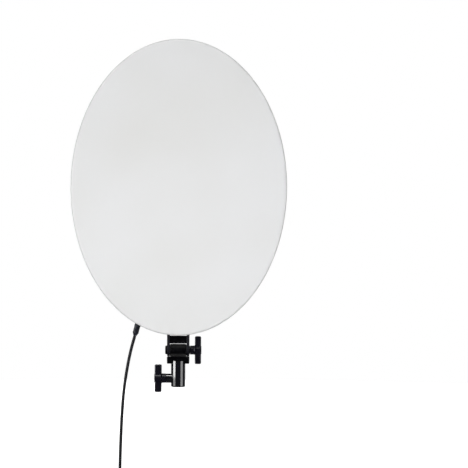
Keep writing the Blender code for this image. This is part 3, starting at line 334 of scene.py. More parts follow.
def make_world():
    """White where the camera, gloss and glass see it, and a plain grey light elsewhere."""
    world = bpy.data.worlds.new("studio")
    world.use_nodes = True
    bpy.context.scene.world = world
    tree = world.node_tree
    tree.nodes.clear()
    mix = tree.nodes.new("ShaderNodeMixShader")
    seen = ray_mask(tree, "Is Camera Ray", "Is Glossy Ray", "Is Transmission Ray")
    tree.links.new(seen, mix.inputs[0])
    for i, colour, strength in ((1, SKY, SKY_STRENGTH), (2, WHITE, 1.0)):
        light = tree.nodes.new("ShaderNodeBackground")
        light.inputs["Color"].default_value = colour
        light.inputs["Strength"].default_value = strength
        tree.links.new(light.outputs[0], mix.inputs[i])
    out = tree.nodes.new("ShaderNodeOutputWorld")
    tree.links.new(mix.outputs[0], out.inputs["Surface"])


def make_floor():
    """A pale floor under the coil and the adapter. It renders white and keeps soft shadows."""
    bm = bmesh.new()
    bmesh.ops.create_circle(bm, cap_ends=True, segments=96, radius=FLOOR_R)
    bmesh.ops.translate(bm, verts=bm.verts, vec=(0.0, FLOOR_MID_Y, FLOOR_Z - FLOOR_BELOW))
    floor = new_object("studio_floor", new_mesh("studio_floor", bm, recalc=False))
    made = bpy.data.materials.new("studio_floor")
    made.use_nodes = True
    tree = made.node_tree
    shader = tree.nodes["Principled BSDF"]
    shader.inputs["Base Color"].default_value = FLOOR_GREY
    shader.inputs["Roughness"].default_value = 0.9
    shader.inputs["Specular IOR Level"].default_value = 0.1
    shader.inputs["Emission Color"].default_value = WHITE
    seen = ray_mask(tree, "Is Camera Ray", "Is Glossy Ray")
    glow = math_node(tree, "MULTIPLY", seen, FLOOR_GLOW)
    tree.links.new(glow, shader.inputs["Emission Strength"])
    floor.data.materials.append(made)


# Mesh helpers

def new_mesh(name, bm, recalc=True):
    """A mesh from bmesh data. Its faces are turned to point out, unless recalc is off."""
    if recalc:
        bmesh.ops.recalc_face_normals(bm, faces=bm.faces)
    mesh = bpy.data.meshes.new(name)
    bm.to_mesh(mesh)
    bm.free()
    return mesh


def new_object(name, mesh):
    """An object for a mesh, at the origin."""
    made = bpy.data.objects.new(name, mesh)
    bpy.context.scene.collection.objects.link(made)
    return made


def loft(name, rings, closed=False):
    """Skin rings of equal point counts. An open row of rings gets a flat cap at each end."""
    bm = bmesh.new()
    rows = [[bm.verts.new(point) for point in ring] for ring in rings]
    pairs = list(zip(rows, rows[1:]))
    if closed:
        pairs.append((rows[-1], rows[0]))
    for near, far in pairs:
        for i in range(len(near)):
            bm.faces.new((near[i - 1], near[i], far[i], far[i - 1]))
    if not closed:
        bm.faces.new(rows[0])
        bm.faces.new(rows[-1])
    return new_mesh(name, bm)


def block(low, high, edge=0.0, segments=3):
    """A box mesh between two corners, with rounded edges."""
    low = Vector(low)
    high = Vector(high)
    size = Matrix.Diagonal((*(high - low), 1.0))
    bm = bmesh.new()
    bmesh.ops.create_cube(bm, size=1.0, matrix=Matrix.Translation((low + high) / 2) @ size)
    if edge:
        bmesh.ops.bevel(bm, geom=list(bm.edges), offset=edge, segments=segments, profile=0.5,
                        affect="EDGES")
    return new_mesh("block", bm)


def circle(centre, axis, radius, sides):
    """Points round a circle about an axis."""
    turn = Vector(axis).to_track_quat("Z", "Y").to_matrix()
    angles = [2 * math.pi * i / sides for i in range(sides)]
    return [
        Vector(centre) + turn @ Vector((radius * math.cos(a), radius * math.sin(a), 0.0))
        for a in angles
    ]


def quarter(steps=6):
    """(1 - cos, 1 - sin) at even steps of a quarter turn, for a rounded edge."""
    angles = [math.pi / 2 * i / steps for i in range(steps + 1)]
    return [(1 - math.cos(a), 1 - math.sin(a)) for a in angles]


def turned(profile, axis, centre=(0, 0, 0), sides=72, closed=False):
    """A turned mesh: (radius, height) pairs skinned about an axis. A closed section leaves a hole."""
    axis = Vector(axis).normalized()
    rings = [circle(Vector(centre) + axis * high, axis, radius, sides) for radius, high in profile]
    return loft("turned", rings, closed)


def bored(radius, start, end, axis, centre, sides=32):
    """The step that cuts a round hole along an axis."""
    return "DIFFERENCE", turned([(radius, start), (radius, end)], axis, centre, sides)


def combine(name, base, *steps):
    """Join meshes to a base or cut them out of it, in order, as one plain mesh."""
    whole = new_object(name, base)
    helpers = []
    for operation, mesh in steps:
        helper = new_object(f"{name}_helper", mesh)
        helpers.append(helper)
        made = whole.modifiers.new(operation, "BOOLEAN")
        made.operation = operation
        made.solver = "EXACT"
        made.object = helper
    settle(whole)
    for helper in helpers:
        bpy.data.objects.remove(helper)
    return whole


def settle(piece):
    """Turn a piece's modifiers into its plain mesh."""
    bpy.context.view_layer.update()
    graph = bpy.context.evaluated_depsgraph_get()
    mesh = bpy.data.meshes.new_from_object(piece.evaluated_get(graph))
    piece.modifiers.clear()
    piece.data = mesh


def round_edges(piece, width=0.0004, segments=2, angle=50.0):
    """Round a piece's sharp edges and make the result its mesh."""
    bm = bmesh.new()
    bm.from_mesh(piece.data)
    bmesh.ops.remove_doubles(bm, verts=bm.verts, dist=0.00001)
    bmesh.ops.dissolve_limit(bm, angle_limit=math.radians(1.0), verts=bm.verts, edges=bm.edges)
    bm.to_mesh(piece.data)
    bm.free()
    made = piece.modifiers.new("rounded_edges", "BEVEL")
    made.width = width
    made.segments = segments
    made.limit_method = "ANGLE"
    made.angle_limit = math.radians(angle)
    made.use_clamp_overlap = True
    settle(piece)


def dress(piece, material, body, nodes=(), smooth=35.0):
    """Give a piece its finish and shading, and say what it rides on and stands for."""
    piece.data.materials.clear()
    piece.data.materials.append(material)
    piece.data.shade_smooth()
    piece.data.set_sharp_from_angle(angle=math.radians(smooth))
    flat_faces = piece.modifiers.new("flat_faces", "WEIGHTED_NORMAL")
    flat_faces.keep_sharp = True
    settle(piece)
    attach(piece, body)
    if nodes:
        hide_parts(*nodes)
    return piece


# Shader node groups

def new_group(name, inputs, outputs):
    """A shader node group with named number inputs and outputs."""
    group = bpy.data.node_groups.new(name, "ShaderNodeTree")
    for label, value in inputs:
        made = group.interface.new_socket(label, in_out="INPUT", socket_type="NodeSocketFloat")
        made.default_value = value
    for label in outputs:
        group.interface.new_socket(label, in_out="OUTPUT", socket_type="NodeSocketFloat")
    return group, group.nodes.new("NodeGroupInput"), group.nodes.new("NodeGroupOutput")


def noise(tree, size, detail, roughness=0.5):
    """Noise on Object coordinates, in patches of a given size."""
    place = tree.nodes.new("ShaderNodeTexCoord")
    made = tree.nodes.new("ShaderNodeTexNoise")
    made.inputs["Detail"].default_value = detail
    made.inputs["Roughness"].default_value = roughness
    tree.links.new(place.outputs["Object"], made.inputs["Vector"])
    tree.links.new(math_node(tree, "DIVIDE", 1.0, size), made.inputs["Scale"])
    return made.outputs["Fac"]


def moulded_grain_group():
    """Fine moulded or cast grain: a height for bump, and a soft mottle that drifts over it."""
    group, given, out = new_group(
        "moulded_grain", (("Grain Size", 0.0006), ("Drift Size", 0.04)), ("Height", "Mottle"))
    group.links.new(noise(group, given.outputs["Grain Size"], 3.0, 0.6), out.inputs["Height"])
    group.links.new(noise(group, given.outputs["Drift Size"], 2.0, 0.6), out.inputs["Mottle"])
    return group


def edge_wear_group():
    """Where edges have been rubbed: convex edges, broken up by noise."""
    group, given, out = new_group("edge_wear", (("Amount", 0.5), ("Patch Size", 0.004)), ("Mask",))
    shape = group.nodes.new("ShaderNodeNewGeometry")
    edge = ranged(group, shape.outputs["Pointiness"], 0.0, 1.0, (0.52, 0.62))
    patch = ranged(group, noise(group, given.outputs["Patch Size"], 4.0), 0.0, 1.0, (0.40, 0.65))
    worn = math_node(group, "MULTIPLY", edge, patch)
    worn = math_node(group, "MULTIPLY", worn, given.outputs["Amount"])
    group.links.new(worn, out.inputs["Mask"])
    return group


def settled_dust_and_sheen_group():
    """Thin dust on faces that look up; on the black casting it also paints the sheen of their tops.
    """
    group, given, out = new_group("settled_dust", (("Amount", 0.2), ("Patch Size", 0.02)), ("Mask",))
    shape = group.nodes.new("ShaderNodeNewGeometry")
    parts = group.nodes.new("ShaderNodeSeparateXYZ")
    group.links.new(shape.outputs["Normal"], parts.inputs[0])
    up = ranged(group, parts.outputs["Z"], 0.0, 1.0, (0.3, 1.0))
    dust_and_sheen = math_node(group, "MULTIPLY", up, noise(group, given.outputs["Patch Size"], 5.0))
    dust_and_sheen = math_node(group, "MULTIPLY", dust_and_sheen, given.outputs["Amount"])
    group.links.new(dust_and_sheen, out.inputs["Mask"])
    return group


def recess_shade_group():
    """Painted shade for grooves and slots below a face: how deep a point is, inside a limiting oval.
    """
    group, given, out = new_group("recess", (
        ("Face", REAR_Y), ("Depth", 0.0006), ("Half Width", HALF_W), ("Half Height", HALF_H),
        ("Middle", MID_Z)), ("Mask",))
    calc = partial(math_node, group)
    place = group.nodes.new("ShaderNodeTexCoord")
    parts = group.nodes.new("ShaderNodeSeparateXYZ")
    group.links.new(place.outputs["Object"], parts.inputs[0])
    below = calc("SUBTRACT", given.outputs["Face"], parts.outputs["Y"])
    deep = calc("DIVIDE", below, given.outputs["Depth"])
    deep = calc("MINIMUM", calc("MAXIMUM", deep, 0.0), 1.0)
    wide = calc("DIVIDE", parts.outputs["X"], given.outputs["Half Width"])
    high = calc("SUBTRACT", parts.outputs["Z"], given.outputs["Middle"])
    high = calc("DIVIDE", high, given.outputs["Half Height"])
    away = calc("ADD", calc("MULTIPLY", wide, wide), calc("MULTIPLY", high, high))
    inside = calc("LESS_THAN", away, SHADE_LIMIT)
    group.links.new(calc("MULTIPLY", deep, inside), out.inputs["Mask"])
    return group


GRAIN = moulded_grain_group()
WEAR = edge_wear_group()
DUST_AND_SHEEN = settled_dust_and_sheen_group()
RECESS_SHADE = recess_shade_group()


# Materials

def placed_group(tree, group, **values):
    """A node group placed in a material with its own values."""
    node = tree.nodes.new("ShaderNodeGroup")
    node.node_tree = group
    for label, value in values.items():
        node.inputs[label.replace("_", " ")].default_value = value
    return node


def mix_colours(tree, mask, first, second):
    """A colour between two others by a mask. Each colour is a socket or three numbers."""
    mix = tree.nodes.new("ShaderNodeMix")
    mix.data_type = "RGBA"
    tree.links.new(mask, mix.inputs["Factor"])
    for socket, colour in ((mix.inputs[6], first), (mix.inputs[7], second)):
        if isinstance(colour, tuple):
            socket.default_value = (*colour, 1.0)
        else:
            tree.links.new(colour, socket)
    return mix.outputs[2]


def grained(name, dark, light, rough, grain=0.0006, depth=0.00004, drift=0.04, wear=None,
            wear_amount=0.5, dust_and_sheen=0.0, specular=0.5, metallic=0.0, recess=None,
            recess_shade_colour=None):
    """A moulded, cast or painted finish with grain, drifting tone, worn edges, painted shade in
    recesses, and dust that also paints sheen on upward faces.
    """
    made = bpy.data.materials.new(name)
    made.use_nodes = True
    tree = made.node_tree
    shader = tree.nodes["Principled BSDF"]
    surface = placed_group(tree, GRAIN, Grain_Size=grain, Drift_Size=drift)
    drifting = ranged(tree, surface.outputs["Mottle"], 0.0, 1.0)
    colour = mix_colours(tree, drifting, dark, light)
    if wear:
        edges = placed_group(tree, WEAR, Amount=wear_amount)
        colour = mix_colours(tree, edges.outputs["Mask"], colour, wear)
    # Painted shade: recesses below a face take a darker colour
    if recess:
        sunk_shade = placed_group(tree, RECESS_SHADE, **recess)
        colour = mix_colours(tree, sunk_shade.outputs["Mask"], colour, recess_shade_colour)
    # Dust on upward faces, which on the black casting is also a painted sheen
    if dust_and_sheen:
        dust_and_sheen_mask = placed_group(tree, DUST_AND_SHEEN, Amount=dust_and_sheen)
        colour = mix_colours(tree, dust_and_sheen_mask.outputs["Mask"], colour, DUST_AND_SHEEN_COLOUR)
    tree.links.new(colour, shader.inputs["Base Color"])
    roughness = ranged(tree, surface.outputs["Mottle"], rough[0], rough[1])
    tree.links.new(roughness, shader.inputs["Roughness"])
    shader.inputs["Specular IOR Level"].default_value = specular
    shader.inputs["Metallic"].default_value = metallic
    bump = tree.nodes.new("ShaderNodeBump")
    bump.inputs["Strength"].default_value = 1.0
    bump.inputs["Distance"].default_value = depth
    tree.links.new(surface.outputs["Height"], bump.inputs["Height"])
    tree.links.new(bump.outputs["Normal"], shader.inputs["Normal"])
    return made


FINISHES = {
    # Painted shade: the opal's rounded edge and skirt take a darker grey
    "opal": grained("opal_diffuser", (0.822, 0.820, 0.802), (0.875, 0.878, 0.885), (0.50, 0.58),
                    grain=0.0012, depth=0.00001, drift=0.30, specular=0.04,
                    recess={"Face": FRONT_Y + 0.0001, "Depth": -0.0014, "Half_Width": 1.0,
                            "Half_Height": 1.0},
                    recess_shade_colour=(0.66, 0.66, 0.655)),
    # Painted shade: the cover's slots and grooves turn near black below its rear face
    "cover": grained("matt_cover", (0.021, 0.022, 0.028), (0.029, 0.031, 0.038), (0.52, 0.62),
                     grain=0.0007, depth=0.00003, drift=0.05, wear=(0.07, 0.075, 0.09),
                     wear_amount=0.15, dust_and_sheen=0.03, specular=0.06,
                     recess={"Face": REAR_Y - 0.0001, "Depth": 0.0003},
                     recess_shade_colour=(0.001, 0.001, 0.0016)),
    # Painted shade: the badge's groove turns dark red below its face
    "orange": grained("orange_badge", (0.60, 0.048, 0.002), (0.68, 0.060, 0.004), (0.32, 0.40),
                      grain=0.0015, depth=0.00001, drift=0.03, specular=0.03,
                      recess={"Face": REAR_Y + GAP + BADGE_HIGH - 0.0005, "Depth": 0.0008},
                      recess_shade_colour=(0.30, 0.007, 0.0008)),
    # The casting's dust also paints the highlight strips on its upward faces, such as the neck's
    # flare
    "black_casting": grained("black_casting", (0.0006, 0.0006, 0.001), (0.0014, 0.0014, 0.002),
                             (0.32, 0.42), grain=0.0009, depth=0.00006, drift=0.012,
                             wear=(0.03, 0.03, 0.034), wear_amount=0.3, dust_and_sheen=0.08, specular=0.005),
    # The cheeks' black is a lit copy of the casting's: lighter, as a painted sheen on their edges
    "cheek": grained("yoke_paint", (0.010, 0.010, 0.013), (0.016, 0.016, 0.020),
                     (0.34, 0.44), grain=0.0009, depth=0.00005, drift=0.012,
                     wear=(0.05, 0.05, 0.06), wear_amount=0.35, dust_and_sheen=0.02, specular=0.012),
    "black_gloss": grained("gloss_tube", (0.0006, 0.0006, 0.003), (0.001, 0.001, 0.004),
                           (0.04, 0.07), grain=0.003, depth=0.000001, drift=0.015, specular=0.07),
    "handle": grained("moulded_handle", (0.002, 0.0017, 0.0055), (0.005, 0.0046, 0.0095),
                      (0.26, 0.34), grain=0.0006, depth=0.00003, drift=0.01,
                      wear=(0.04, 0.04, 0.05), wear_amount=0.4, specular=0.025),
    "steel": grained("zinc_plated_steel", (0.50, 0.50, 0.51), (0.60, 0.60, 0.61), (0.26, 0.40),
                     grain=0.0005, depth=0.00001, drift=0.006, metallic=1.0),
    "brass": grained("turned_brass", (0.66, 0.46, 0.17), (0.74, 0.54, 0.23), (0.28, 0.40),
                     grain=0.0004, depth=0.00001, drift=0.005, metallic=1.0),
    # Painted shade: the light board is near black, for the shade inside the shell behind the vents
    "board_white": grained("light_board", (0.002, 0.002, 0.0025), (0.004, 0.004, 0.005),
                           (0.42, 0.52), grain=0.001, depth=0.00001, drift=0.03, specular=0.03),
    "board_green": grained("driver_board", (0.012, 0.055, 0.028), (0.020, 0.075, 0.038),
                           (0.34, 0.44), grain=0.001, depth=0.00001, drift=0.02),
    "component": grained("black_moulding", (0.005, 0.005, 0.006), (0.009, 0.009, 0.010),
                         (0.42, 0.55), grain=0.0005, depth=0.00002, drift=0.008, specular=0.02),
    "cord": grained("cord_sheath", (0.011, 0.011, 0.013), (0.019, 0.019, 0.022), (0.40, 0.52),
                    grain=0.0008, depth=0.00003, drift=0.02, dust_and_sheen=0.02, specular=0.008),
    "plug": grained("plug_moulding", (0.012, 0.014, 0.020), (0.030, 0.032, 0.040), (0.32, 0.42),
                    grain=0.0005, depth=0.00002, drift=0.003, specular=0.01),
    "adapter": grained("adapter_case", (0.008, 0.008, 0.009), (0.012, 0.012, 0.013),
                       (0.46, 0.56), grain=0.0007, depth=0.00005, drift=0.02,
                       wear=(0.04, 0.04, 0.045), wear_amount=0.35, dust_and_sheen=0.03, specular=0.03),
}


# Cord

def smooth_route(points):
    """Points ROUTE_STEP apart on a smooth curve through a route, whose two end runs stay straight."""
    fine = []
    for before, start, end, after in zip(points, points[1:], points[2:], points[3:]):
        for i in range(ROUTE_PARTS):
            t = i / ROUTE_PARTS
            fine.append(
                0.5 * ((2 * start) + (end - before) * t
                       + (2 * before - 5 * start + 4 * end - after) * t * t
                       + (3 * start - before - 3 * end + after) * t ** 3)
            )
    fine.append(points[-2])
    total = sum((b - a).length for a, b in zip(fine, fine[1:]))
    spacing = total / max(1, round(total / ROUTE_STEP))
    kept = [fine[0]]
    walked = 0.0
    for a, b in zip(fine, fine[1:]):
        walked += (b - a).length
        if walked >= spacing * (len(kept) - 0.001):
            kept.append(b)
    kept[-1] = fine[-1]
    return [points[0], *kept, points[-1]]


def on_plug_axis(along):
    """A point by its distance out of the rim along the plug's axis."""
    return PLUG_FOOT + along * Vector((-math.sin(PLUG_LEAN), 0.0, -math.cos(PLUG_LEAN)))


def coil_line():
    """The coil's centreline: one layer spiralling in, the climb, one layer spiralling out."""
    middle = COIL_TURNS / 2
    line = []
    for i in range(round(COIL_TURNS * COIL_POINTS) + 1):
        turn = i / COIL_POINTS
        radius = COIL_IN_R + COIL_PITCH * abs(turn - middle)
        climb = min(1.0, max(0.0, 2 * (turn - middle) + 0.5))
        height = COIL_LOW_Z + (COIL_HIGH_Z - COIL_LOW_Z) * climb * climb * (3 - 2 * climb)
        angle = math.pi / 2 - 2 * math.pi * turn
        line.append(Vector((COIL_X + radius * math.cos(angle), COIL_Y + radius * math.sin(angle),
                            height)))
    run = Vector((CORD_D, 0, 0))
    return [line[0] - run, *line, line[-1] - run]


def cord_line():
    """The whole cord's line: the hanging stretch, the coil, and the tail to the adapter."""
    coil = coil_line()
    route = [on_plug_axis(PLUG_OUT + GAP), on_plug_axis(PLUG_OUT + GAP + CORD_D)]
    route += [Vector(place) for place in CORD_ROUTE]
    run = Vector((CORD_D, 0, 0))
    gap = Vector((GAP, 0, 0))
    landing = coil[0] - gap
    route += [landing - run, landing]
    hanging = smooth_route(route)
    begin = coil[-1] - gap
    relief = Vector((ADAPTER_X[1] + RELIEF_LONG + GAP, ADAPTER_Y, COIL_HIGH_Z))
    route = [begin, begin - run]
    route += [Vector((x, y, COIL_HIGH_Z)) for x, y in TAIL_ROUTE]
    tail = smooth_route([*route, relief + run, relief])
    return hanging[:-1] + coil + tail[1:]


def tube_mesh(name, line, radius, sides):
    """A round tube along a line, without twist."""
    ahead = [(b - a).normalized() for a, b in zip(line, line[1:])]
    along = [ahead[0]] + [(a + b).normalized() for a, b in zip(ahead, ahead[1:])] + [ahead[-1]]
    side = Vector((0, 1, 0))
    rings = []
    for place, way in zip(line, along):
        side = (side - side.dot(way) * way).normalized()
        other = way.cross(side)
        rings.append([
            place + radius * (math.cos(a) * side + math.sin(a) * other)
            for a in (2 * math.pi * i / sides for i in range(sides))
        ])
    return loft(name, rings)


def make_cord():
    """The supply cord from the DC plug through its coil to the adapter."""
    line = cord_line()
    cord = new_object("supply_cord", tube_mesh("supply_cord", line, CORD_D / 2, CORD_SIDES))
    cord.data.materials.append(FINISHES["cord"])
    cord.data.shade_smooth()
    cord.data.set_sharp_from_angle(angle=math.radians(60))
    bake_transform(cord)
    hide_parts("dc_cord", "dc_cord_coil", "dc_cord_tail")


# Panel shells

def oval(inset, y):
    """Points round the panel's oval at a depth."""
    angles = [2 * math.pi * i / OVAL_SIDES for i in range(OVAL_SIDES)]
    half_w = HALF_W - inset
    half_h = HALF_H - inset
    return [Vector((half_w * math.cos(a), y, MID_Z + half_h * math.sin(a))) for a in angles]


def arc_steps(radius, wall, face_y, towards, steps=6):
    """(inset, y) pairs round an edge, from the wall at an inset to the flat face at face_y."""
    return [(wall + radius * x, face_y - towards * radius * y) for x, y in quarter(steps)]


def make_diffuser():
    """The opal front: a flat face with a soft edge and a thin skirt."""
    steps = [(DIFFUSER_EDGE + 0.002, FRONT_Y)]
    steps += arc_steps(DIFFUSER_EDGE, 0.0, FRONT_Y, -1)[::-1]
    steps += [(0.0, PARTING_Y - 0.0004), (0.0002, PARTING_Y), (DIFFUSER_WALL, PARTING_Y)]
    inner = FRONT_Y + DIFFUSER_WALL
    steps += [(DIFFUSER_WALL, inner + 0.001), (DIFFUSER_WALL + 0.001, inner),
              (DIFFUSER_WALL + 0.003, inner)]
    mesh = loft("front_diffuser_face", [oval(inset, y) for inset, y in steps])
    piece = new_object("front_diffuser_face", mesh)
    dress(piece, FINISHES["opal"], "head", ["front_diffuser"])


def slot_row(name, count, pitch, first, width, height, limit_w, limit_h, end, margin):
    """A Geometry Nodes row of upright slots, as cutters. A stadium limits how high they reach."""
    tree = bpy.data.node_groups.new(name, "GeometryNodeTree")
    face = tree.interface
    face.new_socket("Geometry", in_out="OUTPUT", socket_type="NodeSocketGeometry")
    for label, value in (("Pitch", pitch), ("First", first), ("Width", width),
                         ("Height", height), ("Limit Width", limit_w), ("Limit Height", limit_h),
                         ("End", end), ("Margin", margin)):
        made = face.new_socket(label, in_out="INPUT", socket_type="NodeSocketFloat")
        made.default_value = value
    made = face.new_socket("Count", in_out="INPUT", socket_type="NodeSocketInt")
    made.default_value = count
    made = face.new_socket("Finish", in_out="INPUT", socket_type="NodeSocketMaterial")
    nodes = tree.nodes
    links = tree.links
    calc = partial(math_node, tree)
    given = nodes.new("NodeGroupInput")
    out = nodes.new("NodeGroupOutput")
    line = nodes.new("GeometryNodeMeshLine")
    links.new(given.outputs["Count"], line.inputs["Count"])
    step = nodes.new("ShaderNodeCombineXYZ")
    links.new(given.outputs["Pitch"], step.inputs["X"])
    start = nodes.new("ShaderNodeCombineXYZ")
    links.new(given.outputs["First"], start.inputs["X"])
    links.new(start.outputs[0], line.inputs["Start Location"])
    links.new(step.outputs[0], line.inputs["Offset"])
    position = nodes.new("GeometryNodeInputPosition")
    parts = nodes.new("ShaderNodeSeparateXYZ")
    links.new(position.outputs[0], parts.inputs[0])
    away = calc("ABSOLUTE", parts.outputs["X"])
    radius = calc("MULTIPLY", given.outputs["Width"], 0.5)
    straight = calc("SUBTRACT", given.outputs["Limit Width"], given.outputs["End"])
    share = calc("SUBTRACT", calc("ADD", away, radius), straight)
    share = calc("DIVIDE", share, given.outputs["End"])
    share = calc("MINIMUM", calc("MAXIMUM", share, 0.0), 1.0)
    bow = calc("SQRT", calc("SUBTRACT", 1.0, calc("MULTIPLY", share, share)))
    room = calc("MULTIPLY", given.outputs["Limit Height"], bow)
    room = calc("SUBTRACT", room, given.outputs["Margin"])
    half = calc("MINIMUM", calc("MULTIPLY", given.outputs["Height"], 0.5), room)
    reach = calc("SUBTRACT", half, radius)
    keep = nodes.new("GeometryNodeCaptureAttribute")
    keep.capture_items.new("FLOAT", "Reach")
    links.new(line.outputs["Mesh"], keep.inputs["Geometry"])
    links.new(reach, keep.inputs["Reach"])
    disc = nodes.new("GeometryNodeMeshCylinder")
    disc.inputs["Vertices"].default_value = SLOT_SIDES
    disc.inputs["Depth"].default_value = CUTTER_DEEP
    links.new(radius, disc.inputs["Radius"])
    turn = nodes.new("GeometryNodeTransform")
    turn.inputs["Rotation"].default_value = (math.radians(90), 0.0, 0.0)
    spin = nodes.new("GeometryNodeTransform")
    spin.inputs["Rotation"].default_value = (0.0, 0.0, math.pi / SLOT_SIDES)
    links.new(disc.outputs["Mesh"], spin.inputs["Geometry"])
    links.new(spin.outputs["Geometry"], turn.inputs["Geometry"])
    place = nodes.new("GeometryNodeInstanceOnPoints")
    links.new(keep.outputs["Geometry"], place.inputs["Points"])
    links.new(turn.outputs["Geometry"], place.inputs["Instance"])
    real = nodes.new("GeometryNodeRealizeInstances")
    links.new(place.outputs["Instances"], real.inputs["Geometry"])
    where = nodes.new("GeometryNodeInputPosition")
    where_parts = nodes.new("ShaderNodeSeparateXYZ")
    links.new(where.outputs[0], where_parts.inputs[0])
    side = calc("SIGN", where_parts.outputs["Z"])
    shift = nodes.new("ShaderNodeCombineXYZ")
    links.new(calc("MULTIPLY", side, keep.outputs["Reach"]), shift.inputs["Z"])
    stretch = nodes.new("GeometryNodeSetPosition")
    links.new(real.outputs["Geometry"], stretch.inputs["Geometry"])
    links.new(shift.outputs[0], stretch.inputs["Offset"])
    finish = nodes.new("GeometryNodeSetMaterial")
    links.new(stretch.outputs["Geometry"], finish.inputs["Geometry"])
    links.new(given.outputs["Finish"], finish.inputs["Material"])
    links.new(finish.outputs["Geometry"], out.inputs["Geometry"])
    return tree


def grown(name, tree, **values):
    """The plain mesh that a Geometry Nodes tree makes, with some inputs set by their names."""
    holder = new_object(name, bpy.data.meshes.new(name))
    made = holder.modifiers.new(name, "NODES")
    made.node_group = tree
    for item in tree.interface.items_tree:
        label = item.name.replace(" ", "_")
        if item.in_out == "INPUT" and label in values:
            made[item.identifier] = values[label]
    settle(holder)
    mesh = holder.data
    bpy.data.objects.remove(holder)
    return mesh


def moved(mesh, offset):
    """A mesh shifted in place."""
    mesh.transform(Matrix.Translation(offset))
    return mesh


def stadium(half_w, half_h, end, mid_z, inset, y):
    """Points round a stadium whose ends are half ovals, inset from its edge, at a depth."""
    points = []
    for side in (1, -1):
        for i in range(STADIUM_ARC + 1):
            angle = math.pi * i / STADIUM_ARC - math.pi / 2
            x = side * (half_w - end + (end - inset) * math.cos(angle))
            points.append(Vector((x, y, mid_z + side * (half_h - inset) * math.sin(angle))))
    return points


def vent_groove(mid_z):
    """The step that cuts the groove round a vent, with sloped walls."""
    section = ((0.0, 0.0002), (GROOVE_SLOPE, -GROOVE_DEPTH),
               (GROOVE_W - GROOVE_SLOPE, -GROOVE_DEPTH), (GROOVE_W, 0.0002), (GROOVE_W, 0.002),
               (0.0, 0.002))
    rings = [stadium(VENT_HALF_W, VENT_HALF_H, VENT_END, mid_z, inset, REAR_Y + high)
             for inset, high in section]
    return "DIFFERENCE", loft("vent_groove", rings, closed=True)


def notch(low_y, high_y, below):
    """The step that cuts the small notch in the middle of the badge's lower edge."""
    half = BADGE_NOTCH / 2
    foot = BADGE_MID_Z - BADGE_HALF_H
    return "DIFFERENCE", block((-half, low_y, foot - below), (half, high_y, foot + half))


def make_rear_cover():
    """The rear shell with its vents, grooves, cheek slots and plug hole."""
    shoulder = PARTING_Y + GAP
    inner = LIP_INSET + COVER_WALL
    steps = [(COVER_EDGE + 0.003, REAR_Y)]
    steps += arc_steps(COVER_EDGE, 0.0, REAR_Y, 1, 8)[::-1]
    steps += [(0.0, shoulder + 0.0004), (0.0002, shoulder), (LIP_INSET, shoulder),
              (LIP_INSET, PARTING_Y - LIP_REACH), (inner, PARTING_Y - LIP_REACH),
              (inner, shoulder + COVER_WALL), (COVER_WALL, shoulder + COVER_WALL)]
    steps += arc_steps(COVER_EDGE - COVER_WALL, COVER_WALL, REAR_Y - COVER_WALL, 1, 4)
    shell = loft("rear_cover_shell", [oval(inset, y) for inset, y in steps])
    rows = slot_row("vent_slots", VENT_COUNT, VENT_PITCH, -(VENT_COUNT - 1) / 2 * VENT_PITCH,
                    VENT_SLOT_W, 2 * VENT_HALF_H, VENT_HALF_W, VENT_HALF_H, VENT_END, VENT_MARGIN)
    cuts = [("DIFFERENCE", moved(grown("vent_cutter", rows), (0, CUTTER_Y, MID_Z + offset)))
            for offset in VENT_OFFSETS]
    for first in (SIDE_SLOT_FIRST, -SIDE_SLOT_FIRST - (SIDE_SLOTS - 1) * SIDE_SLOT_PITCH):
        row = grown("side_cutter", rows, Count=SIDE_SLOTS, Pitch=SIDE_SLOT_PITCH, First=first,
                    Width=SIDE_SLOT_W, Height=SIDE_SLOT_H, Limit_Width=1.0, Limit_Height=1.0,
                    End=0.1, Margin=0.0)
        cuts.append(("DIFFERENCE", moved(row, (0, CUTTER_Y, MID_Z + SIDE_SLOT_OFFSET))))
    cuts += [vent_groove(MID_Z + offset) for offset in VENT_OFFSETS]
    cuts.append(notch(REAR_Y - GROOVE_DEPTH, REAR_Y + 0.001, BADGE_NOTCH / 4))
    for side in (-1, 1):
        near, far = sorted((side * (CHEEK_IN - CHEEK_ROOM), side * (CHEEK_OUT + CHEEK_ROOM)))
        cuts.append(("DIFFERENCE", block((near, CHEEK_SLOT_Y[0], CHEEK_SLOT_Z[0]),
                                          (far, CHEEK_SLOT_Y[1], CHEEK_SLOT_Z[1]))))
    cuts.append(bored(PLUG_R + GAP, *PLUG_HOLE, on_plug_axis(1) - on_plug_axis(0),
                      on_plug_axis(0), 48))
    cover = combine("rear_cover_shell", shell, *cuts)
    round_edges(cover)
    dress(cover, FINISHES["cover"], "head", ["rear_cover"])


def make_badge():
    """The bare orange badge: sloped edge, raised ridge, groove and a flat, slightly sunk face."""
    low = REAR_Y + GAP
    high = low + BADGE_HIGH
    section = [(0.0, low), (0.0, low + 0.0006), (0.0008, low + 0.0011), (0.0026, high - 0.0007),
               (0.0042, high - 0.00015), (0.0054, high), (0.0102, high), (0.0112, high - 0.0002),
               (0.0119, high - 0.0009), (0.0129, high - 0.0013), (0.0145, high - 0.0013),
               (0.0155, high - 0.0010), (0.0162, high - 0.0006), (0.0170, high - 0.0005),
               (0.0200, high - 0.0005)]
    rings = [stadium(BADGE_HALF_W, BADGE_HALF_H, BADGE_END, BADGE_MID_Z, inset, y)
             for inset, y in section]
    plate = loft("badge_plate_face", rings)
    badge = combine("badge_plate_face", plate, notch(low - 0.001, high + 0.001, 0.002))
    dress(badge, FINISHES["orange"], "head", ["badge_plate"], 50.0)


# Yoke, knuckle, socket and handles

def across(outline, near, far):
    """A (y, z) outline carried across from near to far, as a mesh."""
    return loft("across", [[Vector((x, y, z)) for y, z in outline] for x in sorted((near, far))])


